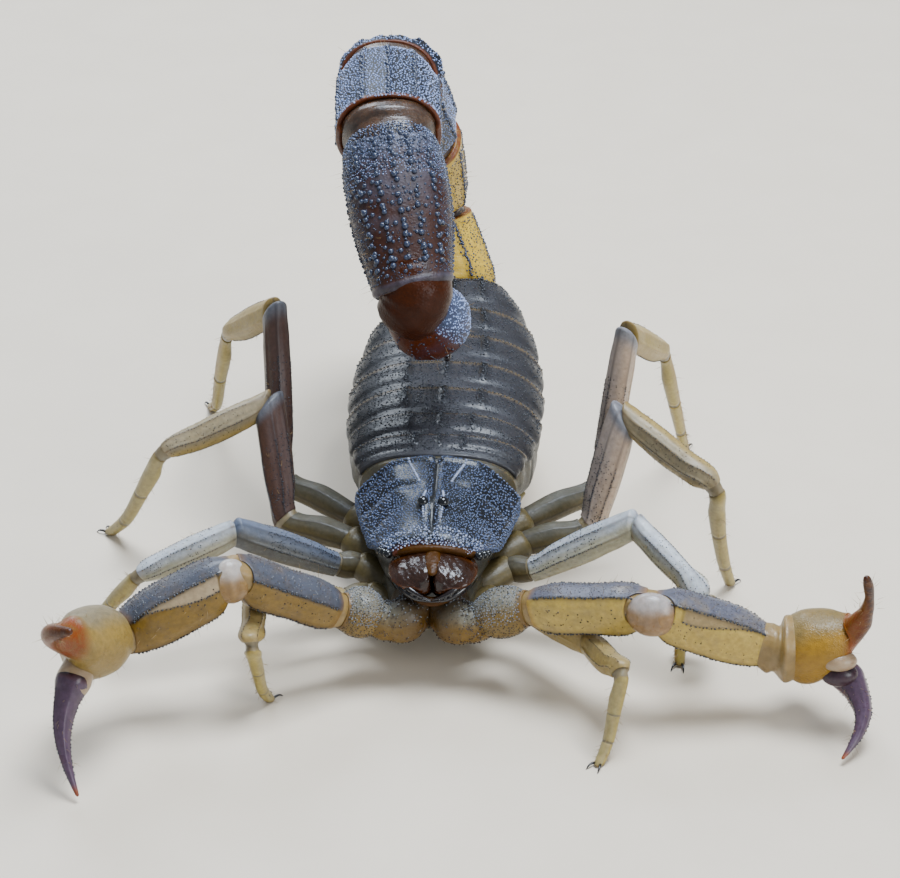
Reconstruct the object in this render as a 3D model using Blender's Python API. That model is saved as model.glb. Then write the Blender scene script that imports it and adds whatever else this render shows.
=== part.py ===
"""Life-size still model of a thick-tailed scorpion, standing with its tail arched over its back.

Sizes are in millimetres and are turned into metres when a solid is made.
While posing, the head looks along -Y, +X is the animal's own left and +Z is up.
The floor is z = 0 and the point under the middle of the head's front edge is the start.
At the end everything is moved so that the origin is the middle of the footprint on the floor.
"""
import math

import bmesh
import bpy
from mathutils import Vector

MM = 0.001
MODEL = "scorpion"           # the empty that carries every solid
GAP = 0.3                    # free space between neighbouring pieces
UP = Vector((0.0, 0.0, 1.0))

# Head shield
SHIELD_LENGTH = 9.9
SHIELD_FRONT_WIDTH = 4.9
SHIELD_REAR_WIDTH = 11.8
SHIELD_FRONT_TOP = 9.9
SHIELD_REAR_TOP = 11.2
SHIELD_FLOOR = 6.3           # underside of the shield's solid
SHIELD_FRONT_FLOOR = 9.3     # underside at the front, above the jaws
TUBERCLE_Y = 3.7             # middle of the bump that carries the two main eyes
TUBERCLE_HEIGHT = 0.6
EYE_RADIUS = 0.40
EYE_SPREAD = 0.62
SIDE_EYE_LENGTH = 1.15

# Jaws
JAW_LENGTH = 3.1
JAW_WIDTH = 2.75
JAW_HEIGHT = 2.4

# Under the head
CHEST_FRONT = -1.2
CHEST_REAR = 12.3
CHEST_BOTTOM = 3.0
CHEST_TOP = 6.0

# Body rings from the head shield to the tail: rear edges along Y
RING_EDGES = (10.2, 12.5, 15.4, 18.9, 22.7, 26.8, 31.1, 36.3)
BODY_HALF_WIDTHS = ((10.0, 5.9), (12.5, 6.4), (15.5, 6.9), (19.0, 7.2), (23.0, 7.3),
                    (27.0, 7.0), (31.0, 6.3), (34.0, 5.2), (36.3, 3.9))
BODY_TOPS = ((10.0, 11.1), (19.0, 11.6), (27.0, 11.9), (31.0, 12.0), (36.3, 12.5))
BODY_BOTTOMS = ((10.0, 6.3), (12.5, 6.3), (12.9, 4.7), (15.3, 4.7), (15.5, 3.6),
                (23.0, 3.7), (27.0, 4.1), (31.0, 5.0), (36.3, 6.8))

# Tail: length, width, height, sideways lean and rise of the five rings, in degrees.
# A rise over 90 carries the ring back towards the head.
TAIL_RINGS = (
    (8.1, 7.6, 6.3, -21, 46),
    (8.9, 7.6, 6.5, -4, 112),
    (9.3, 7.7, 6.6, -8, 131),
    (10.6, 7.5, 6.4, 4, 179),
    (12.1, 7.2, 5.9, 11, 223),
)
TAIL_ROOT = Vector((0.0, 36.3, 9.65))
STING_LEAN = 13
STING_RISE = 328
STING_BULB_WIDTH = 5.7
STING_BULB_LENGTH = 7.8
STING_DROP = 1.4
STING_OFFSET = Vector((-0.3, 0.0, 0.0))
STING_POINT_LEAN = 3
STING_CURL = (308, 272, 238, 208)
STING_STEP = 0.85

# Walking legs, front to back: femur, patella, tibia, first and last foot piece
LEG_LENGTHS = (
    (6.6, 6.5, 2.7, 2.0, 1.7),
    (8.4, 7.4, 3.9, 2.7, 2.1),
    (8.6, 8.4, 5.3, 3.9, 2.8),
    (12.2, 9.9, 7.3, 5.1, 3.5),
)
LEG_SIZE = (0.90, 0.95, 1.00, 0.96)
# Where each leg leaves the chest and where its femur begins (out to the side, back, up)
LEG_ROOTS = (
    ((4.3, 2.1, 4.4), (6.2, 1.2, 4.4)),
    ((5.1, 5.2, 4.8), (6.9, 4.6, 5.2)),
    ((6.0, 8.4, 4.9), (10.9, 9.5, 5.9)),
    ((6.0, 11.6, 4.9), (11.6, 14.6, 6.4)),
)
# Pose of each leg: turn from straight out towards the back, and rise, for the
# femur, patella, tibia and first foot piece; then the turn of the last foot piece.
LEFT_LEG_POSES = (
    ((-44, 0), (-69, 11), (-120, -70), (-120, -70), -120),
    ((-8, 32), (-45, -22), (80, -50), (165, -50), 260),
    ((38, 71), (-34, -22), (75, -67), (68, -66), 65),
    ((16, 82), (70, -33), (75, -57), (77, -54), 77),
)
RIGHT_LEG_POSES = (
    ((-20, 21), (-93, -8), (107, -71), (111, -72), 116),
    ((-24, 30), (-22, -17), (33, -50), (37, -56), 37),
    ((74, 47), (-23, -17), (43, -58), (42, -57), 41),
    ((81, 64), (58, -34), (73, -54), (75, -53), 75),
)

# Arms: where each joint is in the pose (out to the side, back, up)
ARM_ROOT = (3.4, -1.3, 4.9)
ARM_SIDES = 12
LEFT_ARM = {
    "trochanter": (7.0, -2.6, 6.5),
    "elbow": (15.05, -5.1, 8.2),
    "wrist": (23.4, -4.6, 5.2),
    "palm": (27.6, -4.7, 5.3),
    "fixed_tip": (29.1, -8.3, 12.9),
    "moving_root": (27.7, -5.4, 3.8),
    "moving_tip": (28.1, -10.9, 0.55),
    "fixed_bow": (0.1, 0.0, 0.0),
    "moving_bow": (0.85, 0.0, 0.0),
}
RIGHT_ARM = {
    "trochanter": (6.2, -2.3, 5.7),
    "elbow": (12.95, -5.4, 10.2),
    "wrist": (20.6, -7.6, 6.5),
    "palm": (23.0, -11.8, 8.3),
    "fixed_tip": (22.2, -17.1, 12.9),
    "moving_root": (22.5, -12.1, 6.4),
    "moving_tip": (22.2, -17.6, 0.55),
    "fixed_bow": (1.1, 0.3, 0.0),
    "moving_bow": (0.7, 0.3, 0.0),
}

# Combs under the body
COMB_ROOT = Vector((1.1, 13.9, 3.0))
COMB_LENGTH = 7.0
COMB_WIDTH = 1.7
COMB_THICKNESS = 0.6

PAINTS = {
    "dark_shell": ((0.055, 0.055, 0.065), 0.45),
    "olive_shell": ((0.40, 0.30, 0.09), 0.38),
    "leg_shell": ((0.38, 0.34, 0.20), 0.42),
    "tail_shell": ((0.16, 0.16, 0.18), 0.42),
    "tail_end_shell": ((0.070, 0.035, 0.028), 0.35),
    "jaw_shell": ((0.17, 0.07, 0.025), 0.25),
    "belly_shell": ((0.42, 0.36, 0.20), 0.45),
    "eye_lens": ((0.006, 0.006, 0.008), 0.08),
    "finger_shell": ((0.16, 0.09, 0.11), 0.35),
    "sting_shell": ((0.040, 0.016, 0.010), 0.22),
}


def paint(name):
    """The named finish, made the first time it is asked for."""
    found = bpy.data.materials.get(name)
    if found:
        return found
    colour, roughness = PAINTS[name]
    made = bpy.data.materials.new(name)
    made.use_nodes = True
    shader = made.node_tree.nodes["Principled BSDF"]
    shader.inputs["Base Color"].default_value = (*colour, 1.0)
    shader.inputs["Roughness"].default_value = roughness
    shader.inputs["Metallic"].default_value = 0.0
    return made


def between(table, place):
    """Value at place read off a table of (place, value) pairs, straight between them."""
    if place <= table[0][0]:
        return table[0][1]
    for (low, first), (high, second) in zip(table, table[1:]):
        if place <= high:
            share = (place - low) / (high - low)
            return first + (second - first) * share
    return table[-1][1]


def solid(name, rings, finish, end_tip=None):
    """Closed solid through equal rings of points, with flat ends or a pointed end.

    The object stands at the middle of its first ring and hangs from the model's empty.
    """
    mesh = bpy.data.meshes.new(name)
    shape = bmesh.new()
    seat = middle_of(rings[0])
    rows = []
    for ring in rings:
        rows.append([shape.verts.new((point - seat) * MM) for point in ring])
    for row, following in zip(rows, rows[1:]):
        for index in range(len(row)):
            after = (index + 1) % len(row)
            shape.faces.new((row[index], row[after], following[after], following[index]))
    shape.faces.new(list(reversed(rows[0])))
    if end_tip is None:
        shape.faces.new(rows[-1])
    else:
        point_end(shape, rows[-1], (end_tip - seat) * MM)
    bmesh.ops.triangulate(shape, faces=shape.faces[:])
    if shape.calc_volume(signed=True) < 0.0:
        bmesh.ops.reverse_faces(shape, faces=shape.faces[:])
    shape.to_mesh(mesh)
    shape.free()
    mesh.shade_smooth()
    mesh.set_sharp_from_angle(angle=math.radians(40))
    made = bpy.data.objects.new(name, mesh)
    made.data.materials.append(paint(finish))
    made.parent = bpy.data.objects[MODEL]
    made.location = seat * MM
    bpy.context.scene.collection.objects.link(made)


def point_end(shape, row, tip):
    """Closes a ring with a fan that meets at the tip."""
    middle = shape.verts.new(tip)
    for index in range(len(row)):
        shape.faces.new((row[index], row[(index + 1) % len(row)], middle))


def middle_of(ring):
    """Middle of a ring of points."""
    total = Vector((0.0, 0.0, 0.0))
    for point in ring:
        total += point
    return total / len(ring)


def outline(width, top, bottom, sides, squareness=2.2):
    """Rounded section as (across, up) pairs; top and bottom are measured from the axis."""
    points = []
    power = 2.0 / squareness
    for index in range(sides):
        angle = 2.0 * math.pi * (index + 0.5) / sides
        across = math.copysign(abs(math.cos(angle)) ** power, math.cos(angle))
        upward = math.copysign(abs(math.sin(angle)) ** power, math.sin(angle))
        points.append((0.5 * width * across, upward * (top if upward > 0 else bottom)))
    return points


def tube(joints, spans, side, sides=10, start_cut=None, end_cut=None, start_gap=0.0, end_gap=0.0,
         squareness=2.2):
    """Rings along a jointed path.

    spans holds, for each stretch between joints, its stations as
    (share of the stretch, width, height over the axis, height under the axis).
    The ends and the inner joints are cut on slanted planes, so that pieces meet squarely.
    """
    directions = [(b - a).normalized() for a, b in zip(joints, joints[1:])]
    cuts = [start_cut or directions[0]]
    for before, after in zip(directions, directions[1:]):
        cuts.append((before + after).normalized())
    cuts.append(end_cut or directions[-1])
    rings = []
    for number, stations in enumerate(spans):
        along = directions[number]
        across = (side - along * side.dot(along)).normalized()
        upward = across.cross(along)
        length = (joints[number + 1] - joints[number]).length
        first_cut, last_cut = cuts[number], cuts[number + 1]
        begin = start_gap / along.dot(first_cut) if number == 0 else 0.0
        end = length - (end_gap / along.dot(last_cut) if number == len(spans) - 1 else 0.0)
        first = outline(*stations[0][1:], sides, squareness)
        last = outline(*stations[-1][1:], sides, squareness)
        for share, width, top, bottom in stations[(0 if number == 0 else 1):]:
            ring = []
            for index, (x, y) in enumerate(outline(width, top, bottom, sides, squareness)):
                near = across * first[index][0] + upward * first[index][1]
                far = across * last[index][0] + upward * last[index][1]
                low = begin - near.dot(first_cut) / along.dot(first_cut)
                high = end - far.dot(last_cut) / along.dot(last_cut)
                reach = low + (high - low) * share
                ring.append(joints[number] + along * reach + across * x + upward * y)
            rings.append(ring)
    return rings


def even(share, width, height):
    """A station whose axis runs through the middle of its height."""
    return (share, width, 0.5 * height, 0.5 * height)


def shield_half_width(y):
    """Half width of the head shield, with the front corners cut back for the side eyes."""
    share = max(0.0, y) / SHIELD_LENGTH
    full = SHIELD_FRONT_WIDTH + (SHIELD_REAR_WIDTH - SHIELD_FRONT_WIDTH) * share ** 0.62
    return 0.5 * full


def shield_top(x, y):
    """Height of the head shield's upper face."""
    share = max(0.0, y) / SHIELD_LENGTH
    crown = SHIELD_FRONT_TOP + (SHIELD_REAR_TOP - SHIELD_FRONT_TOP) * share ** 0.55
    fall = (0.6 + 2.6 * min(1.0, share * 2.2)) * (abs(x) / shield_half_width(y)) ** 2.4
    bump = TUBERCLE_HEIGHT * math.exp(-(x / 1.0) ** 2 - ((y - TUBERCLE_Y) / 1.3) ** 2)
    return crown - fall + bump


def head_shield():
    """Domed shield over the head with the bump for the main eyes."""
    rings = []
    for y in (0.0, 0.7, 1.6, 2.6, 3.7, 4.8, 6.2, 8.0, SHIELD_LENGTH):
        half = shield_half_width(y)
        floor = between(((0.0, SHIELD_FRONT_FLOOR), (1.0, 8.5), (2.6, 7.6), (5.0, SHIELD_FLOOR)), y)
        ring = []
        for share in (1.0, 0.86, 0.6, 0.33, 0.12, -0.12, -0.33, -0.6, -0.86, -1.0):
            x = half * share
            setback = 0.5 * (1.0 - share * share) if y == 0.0 else 0.0
            ring.append(Vector((x, y + setback, shield_top(x, y))))
        for share in (-0.97, -0.5, 0.5, 0.97):
            ring.append(Vector((half * share, y, floor)))
        rings.append(ring)
    solid("head_shield", rings, "dark_shell")


def dome(name, seat, outward, radius, height, finish, sides=10):
    """Low lens standing on its flat seat."""
    outward = outward.normalized()
    turn = outward.to_track_quat("Z", "Y").to_matrix()
    rings = []
    for share in (0.0, 0.45, 0.8):
        reach = radius * math.cos(share * math.pi / 2)
        lift = height * math.sin(share * math.pi / 2)
        ring = []
        for index in range(sides):
            angle = 2.0 * math.pi * index / sides
            ring.append(seat + turn @ Vector((reach * math.cos(angle), reach * math.sin(angle), lift)))
        rings.append(ring)
    solid(name, rings, finish, end_tip=seat + outward * height)


def eyes(side, word):
    """One main eye on the bump, and one row of small eyes at the shield's front corner."""
    x = side * EYE_SPREAD
    y = TUBERCLE_Y - 0.15
    seat = Vector((x, y, shield_top(x, y)))
    outward = Vector((side * 0.85, -0.25, 0.75)).normalized()
    dome("main_eye_" + word, seat + outward * 0.16, outward, EYE_RADIUS, 0.34, "eye_lens")
    middle = Vector((side * (shield_half_width(0.5) + 0.36), 0.55, 9.35))
    row = Vector((side * 0.62, 0.75, -0.22)).normalized()
    ends = [middle - row * 0.5 * SIDE_EYE_LENGTH, middle + row * 0.5 * SIDE_EYE_LENGTH]
    sizes = [even(0.0, 0.30, 0.30), even(0.22, 0.52, 0.52), even(0.5, 0.56, 0.56),
             even(0.78, 0.50, 0.50), even(1.0, 0.28, 0.28)]
    solid("side_eyes_" + word, tube(ends, [sizes], UP, sides=8), "eye_lens")


def jaw(side, word):
    """Short stout jaw that bends down to its fingers."""
    x = side * (0.5 * JAW_WIDTH + 0.09)
    start = Vector((x, 0.0, 8.25))
    bend = Vector((x, -0.66 * JAW_LENGTH, 8.2))
    tip = Vector((x - side * 0.25, -JAW_LENGTH, 7.9))
    root = [even(0.0, 2.5, 1.0), even(0.12, JAW_WIDTH, JAW_HEIGHT), even(0.55, JAW_WIDTH, JAW_HEIGHT),
            even(1.0, 2.45, 2.2)]
    hook = [even(0.0, 2.45, 2.2), even(0.5, 2.1, 1.7), even(1.0, 1.0, 0.9)]
    solid("jaw_" + word, tube([start, bend, tip], [root, hook], Vector((1, 0, 0)), sides=12), "jaw_shell")


def chest():
    """Underside of the head, from the arm roots back to the last pair of legs."""
    widths = ((CHEST_FRONT, 5.0), (0.0, 6.3), (2.0, 7.6), (5.0, 9.2), (8.5, 10.8),
              (11.5, 10.8), (CHEST_REAR, 9.0))
    rings = []
    for y, width in widths:
        nose = between(((CHEST_FRONT, 0.75), (1.0, 0.0)), y)
        middle = 0.5 * (CHEST_BOTTOM + CHEST_TOP)
        half = 0.5 * (CHEST_TOP - CHEST_BOTTOM) - 0.5 * nose
        ring = []
        for across, upward in outline(width, half, half, 14, 3.0):
            ring.append(Vector((across, y, middle + upward)))
        rings.append(ring)
    solid("chest", rings, "belly_shell")


def tail_directions():
    """Heading of each tail ring."""
    found = []
    for *_, lean, rise in TAIL_RINGS:
        found.append(heading_back(lean, rise))
    return found


def heading_back(lean, rise):
    """Unit heading that starts towards the rear, leans sideways and rises."""
    sideways, upward = math.radians(lean), math.radians(rise)
    level = math.cos(sideways)
    return Vector((math.sin(sideways), level * math.cos(upward), level * math.sin(upward)))


def body_rings():
    """Seven rings of the body, the last one narrowing to the tail."""
    tail_cut = (Vector((0.0, 1.0, 0.0)) + tail_directions()[0]).normalized()
    for number, (start, end) in enumerate(zip(RING_EDGES, RING_EDGES[1:]), 1):
        low = start + (GAP / 2)
        high = end - (GAP / 2)
        rings = []
        steps = 3 if number > 2 else 2
        for step in range(steps + 1):
            y = low + (high - low) * step / steps
            swell = 0.16 * math.sin(math.pi * step / steps)
            ring = []
            for point in body_section(y, swell):
                if number == 7:
                    slant = (point.x * tail_cut.x + (point.z - TAIL_ROOT.z) * tail_cut.z) / tail_cut.y
                    point.y -= slant * (step / steps)
                ring.append(point)
            rings.append(ring)
        solid("body_ring_%d" % number, rings, "dark_shell")


def body_section(y, swell):
    """One outline of the body at a place along it."""
    half = between(BODY_HALF_WIDTHS, y) + swell
    top = between(BODY_TOPS, y) + swell
    bottom = between(BODY_BOTTOMS, y) - swell * 0.6
    waist = bottom + 0.42 * (top - bottom)
    ring = []
    for across, upward in outline(2 * half, top - waist, waist - bottom, 18, 2.5):
        ring.append(Vector((across, y, waist + upward)))
    return ring


def belly_plate():
    """Small plate between the last legs and the combs."""
    rings = []
    for y, width in ((12.75, 2.2), (13.2, 3.2), (14.2, 3.0)):
        ring = []
        for across, upward in outline(width, 0.38, 0.38, 10, 3.0):
            ring.append(Vector((across, y, 4.0 + upward)))
        rings.append(ring)
    solid("belly_plate", rings, "belly_shell")


def comb(side, word):
    """Flat curved comb that lies under the first full body ring."""
    root = Vector((side * COMB_ROOT.x, COMB_ROOT.y, COMB_ROOT.z))
    joints = [root]
    for turn in (38, 50, 62):
        angle = math.radians(turn)
        step = Vector((side * math.cos(angle), math.sin(angle), 0.0))
        joints.append(joints[-1] + step * (COMB_LENGTH / 3))
    sizes = [even(0.0, 1.1, COMB_THICKNESS), even(1.0, COMB_WIDTH, COMB_THICKNESS)]
    middle = [even(0.0, COMB_WIDTH, COMB_THICKNESS), even(1.0, COMB_WIDTH * 0.95, COMB_THICKNESS)]
    end = [even(0.0, COMB_WIDTH * 0.95, COMB_THICKNESS), even(1.0, 0.7, 0.5)]
    flat = Vector((-side * 0.7, 0.7, 0.0))
    solid("comb_" + word, tube(joints, [sizes, middle, end], flat, sides=8, squareness=3.0), "belly_shell")


def tail():
    """Five tail rings that stand, arch forward and come down over the back."""
    directions = tail_directions()
    joints = [TAIL_ROOT]
    for (length, *_), along in zip(TAIL_RINGS, directions):
        joints.append(joints[-1] + along * length)
    cuts = [(Vector((0.0, 1.0, 0.0)) + directions[0]).normalized()]
    for before, after in zip(directions, directions[1:]):
        cuts.append((before + after).normalized())
    sting_way = heading_back(STING_LEAN, STING_RISE)
    cuts.append((directions[-1] + (sting_way - directions[-1]) * 0.22).normalized())
    for number, (length, width, height, _, _) in enumerate(TAIL_RINGS):
        last = number == len(TAIL_RINGS) - 1
        stations = last_tail_stations(width, height) if last else tail_stations(width, height)
        rings = tube(joints[number:number + 2], [stations], Vector((-1, 0, 0)), sides=16,
                     start_cut=cuts[number], end_cut=cuts[number + 1],
                     start_gap=GAP / 2, end_gap=GAP / 2, squareness=2.3)
        finish = "tail_end_shell" if last else "tail_shell"
        solid("tail_ring_%d" % (number + 1), rings, finish)
    return joints[-1], directions[-1], sting_way


def tail_stations(width, height):
    """Stations of a tail ring, with narrow ends and a raised rear rim."""
    return [even(0.0, 0.84 * width, 0.82 * height), even(0.10, 0.93 * width, 0.93 * height),
            even(0.45, width, height), even(0.82, 0.99 * width, height),
            even(0.95, 0.99 * width, 0.99 * height), even(1.0, 0.90 * width, 0.88 * height)]


def last_tail_stations(width, height):
    """Stations of the long last ring, widest before its middle and narrow at the end."""
    return [even(0.0, 0.86 * width, 0.86 * height), even(0.10, 0.96 * width, 0.97 * height),
            even(0.32, width, height), even(0.62, 0.95 * width, 0.96 * height),
            even(0.85, 0.83 * width, 0.88 * height), even(0.95, 0.79 * width, 0.86 * height),
            even(1.0, 0.72 * width, 0.76 * height)]


def sting(tail_end, tail_way, sting_way):
    """Bulb folded back under the tail's end, and the curved point behind it."""
    root = tail_end + tail_way * STING_DROP + STING_OFFSET
    under = (tail_way - sting_way * tail_way.dot(sting_way)).normalized()
    across = under.cross(sting_way)
    # reach along the bulb, width, extent towards the tail, extent away from it
    stations = ((0.35, 2.6, 0.75, 1.3), (1.1, 4.0, 1.0, 2.1), (2.1, 5.0, 1.3, 2.7),
                (2.9, 5.4, 1.5, 2.9), (3.7, STING_BULB_WIDTH, 2.1, 2.95), (4.9, 5.6, 2.5, 2.75),
                (6.2, 4.6, 2.2, 2.2), (7.2, 2.9, 1.45, 1.35),
                (STING_BULB_LENGTH, 1.5, 0.75, 0.7))
    rings = []
    for reach, width, inner, outer in stations:
        ring = []
        for x, y in outline(width, outer, inner, 14, 2.1):
            ring.append(root + sting_way * reach + across * x + under * y)
        rings.append(ring)
    solid("sting_bulb", rings, "tail_end_shell")
    joints = [root + sting_way * (STING_BULB_LENGTH + 2 * GAP)]
    for rise in STING_CURL:
        joints.append(joints[-1] + heading_back(STING_POINT_LEAN, rise) * STING_STEP)
    widths = (1.25, 1.05, 0.85, 0.68, 0.52)
    spans = []
    for first, second in zip(widths, widths[1:]):
        spans.append([even(0.0, first, first), even(1.0, second, second)])
    solid("sting_point", tube(joints, spans, across, sides=8), "sting_shell")


def heading_out(side, turn, rise):
    """Unit heading that starts straight out to the side, turns to the back and rises."""
    level, upward = math.radians(turn), math.radians(rise)
    flat = math.cos(upward)
    return Vector((side * math.cos(level) * flat, math.sin(level) * flat, math.sin(upward)))


def leg_joints(side, number, pose):
    """Joints of one leg from the chest to the floor."""
    joints = [Vector((side * x, y, z)) for x, y, z in LEG_ROOTS[number]]
    lengths = LEG_LENGTHS[number]
    for length, (turn, rise) in zip(lengths, pose[:4]):
        joints.append(joints[-1] + heading_out(side, turn, rise) * length)
    height = joints[-1].z
    reach = math.sqrt(max(lengths[-1] ** 2 - height ** 2, 0.05))
    foot = joints[-1] + heading_out(side, pose[-1], 0) * reach
    foot.z = 0.0
    joints.append(foot)
    return joints


def leg(side, word, number, pose):
    """One walking leg in three solids: hip and femur, patella, and shin with foot."""
    joints = leg_joints(side, number, pose)
    ways = [(b - a).normalized() for a, b in zip(joints, joints[1:])]
    size = LEG_SIZE[number]
    name = "leg_%d_%s_" % (number + 1, word)
    flat = heading_out(side, pose[1][0], 0).cross(UP)
    knee = (ways[1] + ways[2]).normalized()
    shin = (ways[2] + ways[3]).normalized()
    hip = [even(0.0, 1.7 * size, 1.7 * size), even(0.5, 1.9 * size, 2.0 * size),
           even(1.0, 1.5 * size, 1.7 * size)]
    femur = [even(0.0, 1.5 * size, 1.7 * size), even(0.25, 1.65 * size, 2.1 * size),
             even(0.8, 1.7 * size, 2.15 * size), even(1.0, 1.4 * size, 1.6 * size)]
    patella = [even(0.0, 1.4 * size, 1.6 * size), even(0.2, 1.6 * size, 2.0 * size),
               even(0.65, 1.55 * size, 2.0 * size), even(1.0, 1.1 * size, 1.25 * size)]
    shin_part = [even(0.0, 1.0 * size, 1.15 * size), even(0.5, 1.1 * size, 1.3 * size),
                 even(1.0, 1.0 * size, 1.1 * size)]
    foot_root = [even(0.0, 1.0 * size, 1.1 * size), even(1.0, 0.85 * size, 0.95 * size)]
    foot_end = [even(0.0, 0.85 * size, 0.95 * size), even(1.0, 0.75 * size, 0.75 * size)]
    rings = tube(joints[:3], [hip, femur], flat, end_cut=knee, end_gap=GAP / 2)
    solid(name + "femur", rings, "leg_shell")
    rings = tube(joints[2:4], [patella], flat, start_cut=knee, end_cut=shin,
                 start_gap=GAP / 2, end_gap=GAP / 2)
    solid(name + "patella", rings, "leg_shell")
    rings = tube(joints[3:], [shin_part, foot_root, foot_end], flat, sides=8, start_cut=shin,
                 end_cut=-UP, start_gap=GAP / 2)
    solid(name + "foot", rings, "leg_shell")


def arm(side, word, pose):
    """One arm with its claw, whose fixed finger is part of the hand."""
    at = {key: Vector((side * x, y, z)) for key, (x, y, z) in pose.items()}
    root = Vector((side * ARM_ROOT[0], ARM_ROOT[1], ARM_ROOT[2]))
    joints = [root, at["trochanter"], at["elbow"], at["wrist"], at["palm"]]
    ways = [(b - a).normalized() for a, b in zip(joints, joints[1:])]
    cuts = [(before + after).normalized() for before, after in zip(ways, ways[1:])]
    level = Vector((0.0, 1.0, 0.0))
    name = "arm_" + word + "_"
    half = GAP / 2
    trochanter = [even(0.0, 2.4, 2.2), even(0.35, 3.3, 3.4), even(0.7, 3.2, 3.3),
                  even(1.0, 2.3, 2.5)]
    femur = [even(0.0, 2.2, 2.5), even(0.12, 2.7, 3.1), even(0.5, 2.9, 3.2),
             even(0.88, 2.9, 3.2), even(1.0, 2.4, 2.6)]
    patella = [even(0.0, 2.4, 2.6), even(0.14, 3.2, 3.5), even(0.4, 3.5, 3.8),
               even(0.8, 3.2, 3.5), even(1.0, 2.3, 2.5)]
    rings = tube(joints[0:2], [trochanter], level, sides=ARM_SIDES, end_cut=cuts[0], end_gap=half)
    solid(name + "trochanter", rings, "olive_shell")
    rings = tube(joints[1:3], [femur], level, sides=ARM_SIDES, start_cut=cuts[0], end_cut=cuts[1],
                 start_gap=half, end_gap=half, squareness=2.8)
    solid(name + "femur", rings, "olive_shell")
    rings = tube(joints[2:4], [patella], level, sides=ARM_SIDES, start_cut=cuts[1],
                 end_cut=cuts[2], start_gap=half, end_gap=half, squareness=2.6)
    solid(name + "patella", rings, "olive_shell")
    hand(name, at, cuts[2], side)


def hand(name, at, wrist_cut, side):
    """Swollen hand that runs out into the fixed finger, and the moving finger beside it."""
    along = (at["palm"] - at["wrist"]).normalized()
    toward = (at["fixed_tip"] - at["palm"]).normalized()
    lift = (toward - along * toward.dot(along)).normalized()
    across = lift.cross(along)
    length = (at["palm"] - at["wrist"]).length
    knuckle = at["palm"] + lift * 1.35
    bow = at["fixed_bow"]
    # share of the palm's length, width, extent towards the fixed finger, extent away from it
    stations = ((0.0, 2.1, 1.1, 1.1), (0.12, 3.4, 1.8, 1.8), (0.35, 4.6, 2.5, 2.5), (0.62, 4.8, 2.75, 2.4),
                (0.88, 4.2, 2.75, 1.2), (1.1, 3.0, 2.6, -0.05))
    rings = []
    for share, width, upper, lower in stations:
        ring = []
        middle = at["wrist"] + along * (length * share + GAP) + lift * (0.5 * (upper - lower))
        for x, y in outline(width, 0.5 * (upper + lower), 0.5 * (upper + lower), 12, 2.2):
            offset = across * x + lift * y
            slide = -offset.dot(wrist_cut) / along.dot(wrist_cut) if share == 0.0 else 0.0
            ring.append(middle + offset + along * slide)
        rings.append(ring)
    start = middle_of(rings[-1])
    reach = at["fixed_tip"] - start
    for share, width in ((0.2, 2.1), (0.45, 1.5), (0.7, 1.1), (0.9, 0.8), (1.0, 0.55)):
        bend = math.sin(math.pi * share)
        middle = start + reach * share + bow * bend + along * (0.6 * bend)
        swing = (bow * 0.35 + along * 0.2) * math.cos(math.pi * share)
        way = (reach.normalized() + swing).normalized()
        flat = (across - way * across.dot(way)).normalized()
        rise = way.cross(flat)
        ring = []
        for x, y in outline(width, 0.5 * width, 0.5 * width, 12, 2.1):
            ring.append(middle + flat * x + rise * y)
        rings.append(ring)
    solid(name + "hand", rings, "olive_shell")
    moving_finger(name, at, along)


def moving_finger(name, at, along):
    """Slender finger that hangs from the hand and bows outward."""
    start = at["moving_root"] + along * 0.55
    reach = at["moving_tip"] - start
    bow = at["moving_bow"]
    rings = []
    for share, width in ((0.0, 1.6), (0.08, 2.0), (0.25, 1.6), (0.5, 1.2), (0.72, 0.95),
                         (0.9, 0.7), (1.0, 0.5)):
        bend = math.sin(math.pi * share)
        middle = start + reach * share + bow * bend + along * (0.45 * bend)
        swing = (bow * 0.35 + along * 0.15) * math.cos(math.pi * share)
        way = (reach.normalized() + swing).normalized()
        rise = (along - way * along.dot(way)).normalized()
        flat = rise.cross(way)
        ring = []
        for x, y in outline(width, 0.5 * width, 0.5 * width, 10, 2.1):
            ring.append(middle + flat * x + rise * y)
        rings.append(ring)
    solid(name + "finger", rings, "finger_shell")


def centre_on_floor(model):
    """Moves the whole model so that the middle of its footprint is the origin."""
    corners = []
    for made in model.children:
        corners += [made.location + point.co for point in made.data.vertices]
    for axis in range(2):
        places = [corner[axis] for corner in corners]
        model.location[axis] = -0.5 * (min(places) + max(places))


def build():
    """The whole animal."""
    for left_over in list(bpy.data.objects):
        bpy.data.objects.remove(left_over, do_unlink=True)
    model = bpy.data.objects.new(MODEL, None)
    bpy.context.scene.collection.objects.link(model)
    head_shield()
    chest()
    body_rings()
    belly_plate()
    sting(*tail())
    for side, word, legs, pose in ((1, "left", LEFT_LEG_POSES, LEFT_ARM),
                                   (-1, "right", RIGHT_LEG_POSES, RIGHT_ARM)):
        eyes(side, word)
        jaw(side, word)
        comb(side, word)
        arm(side, word, pose)
        for number, leg_pose in enumerate(legs):
            leg(side, word, number, leg_pose)
    centre_on_floor(model)


build()
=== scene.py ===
"""Looks of the thick-tailed scorpion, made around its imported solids.

Every shell piece follows the rings of its own solid, read from the frame, at a much finer grain.
Lengths are in millimetres until a mesh is made. A place on a limb is given by how far along it
lies and by its turn round it: turn 0 is the upper side, as the limb leaves the body.
"""

import math

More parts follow.
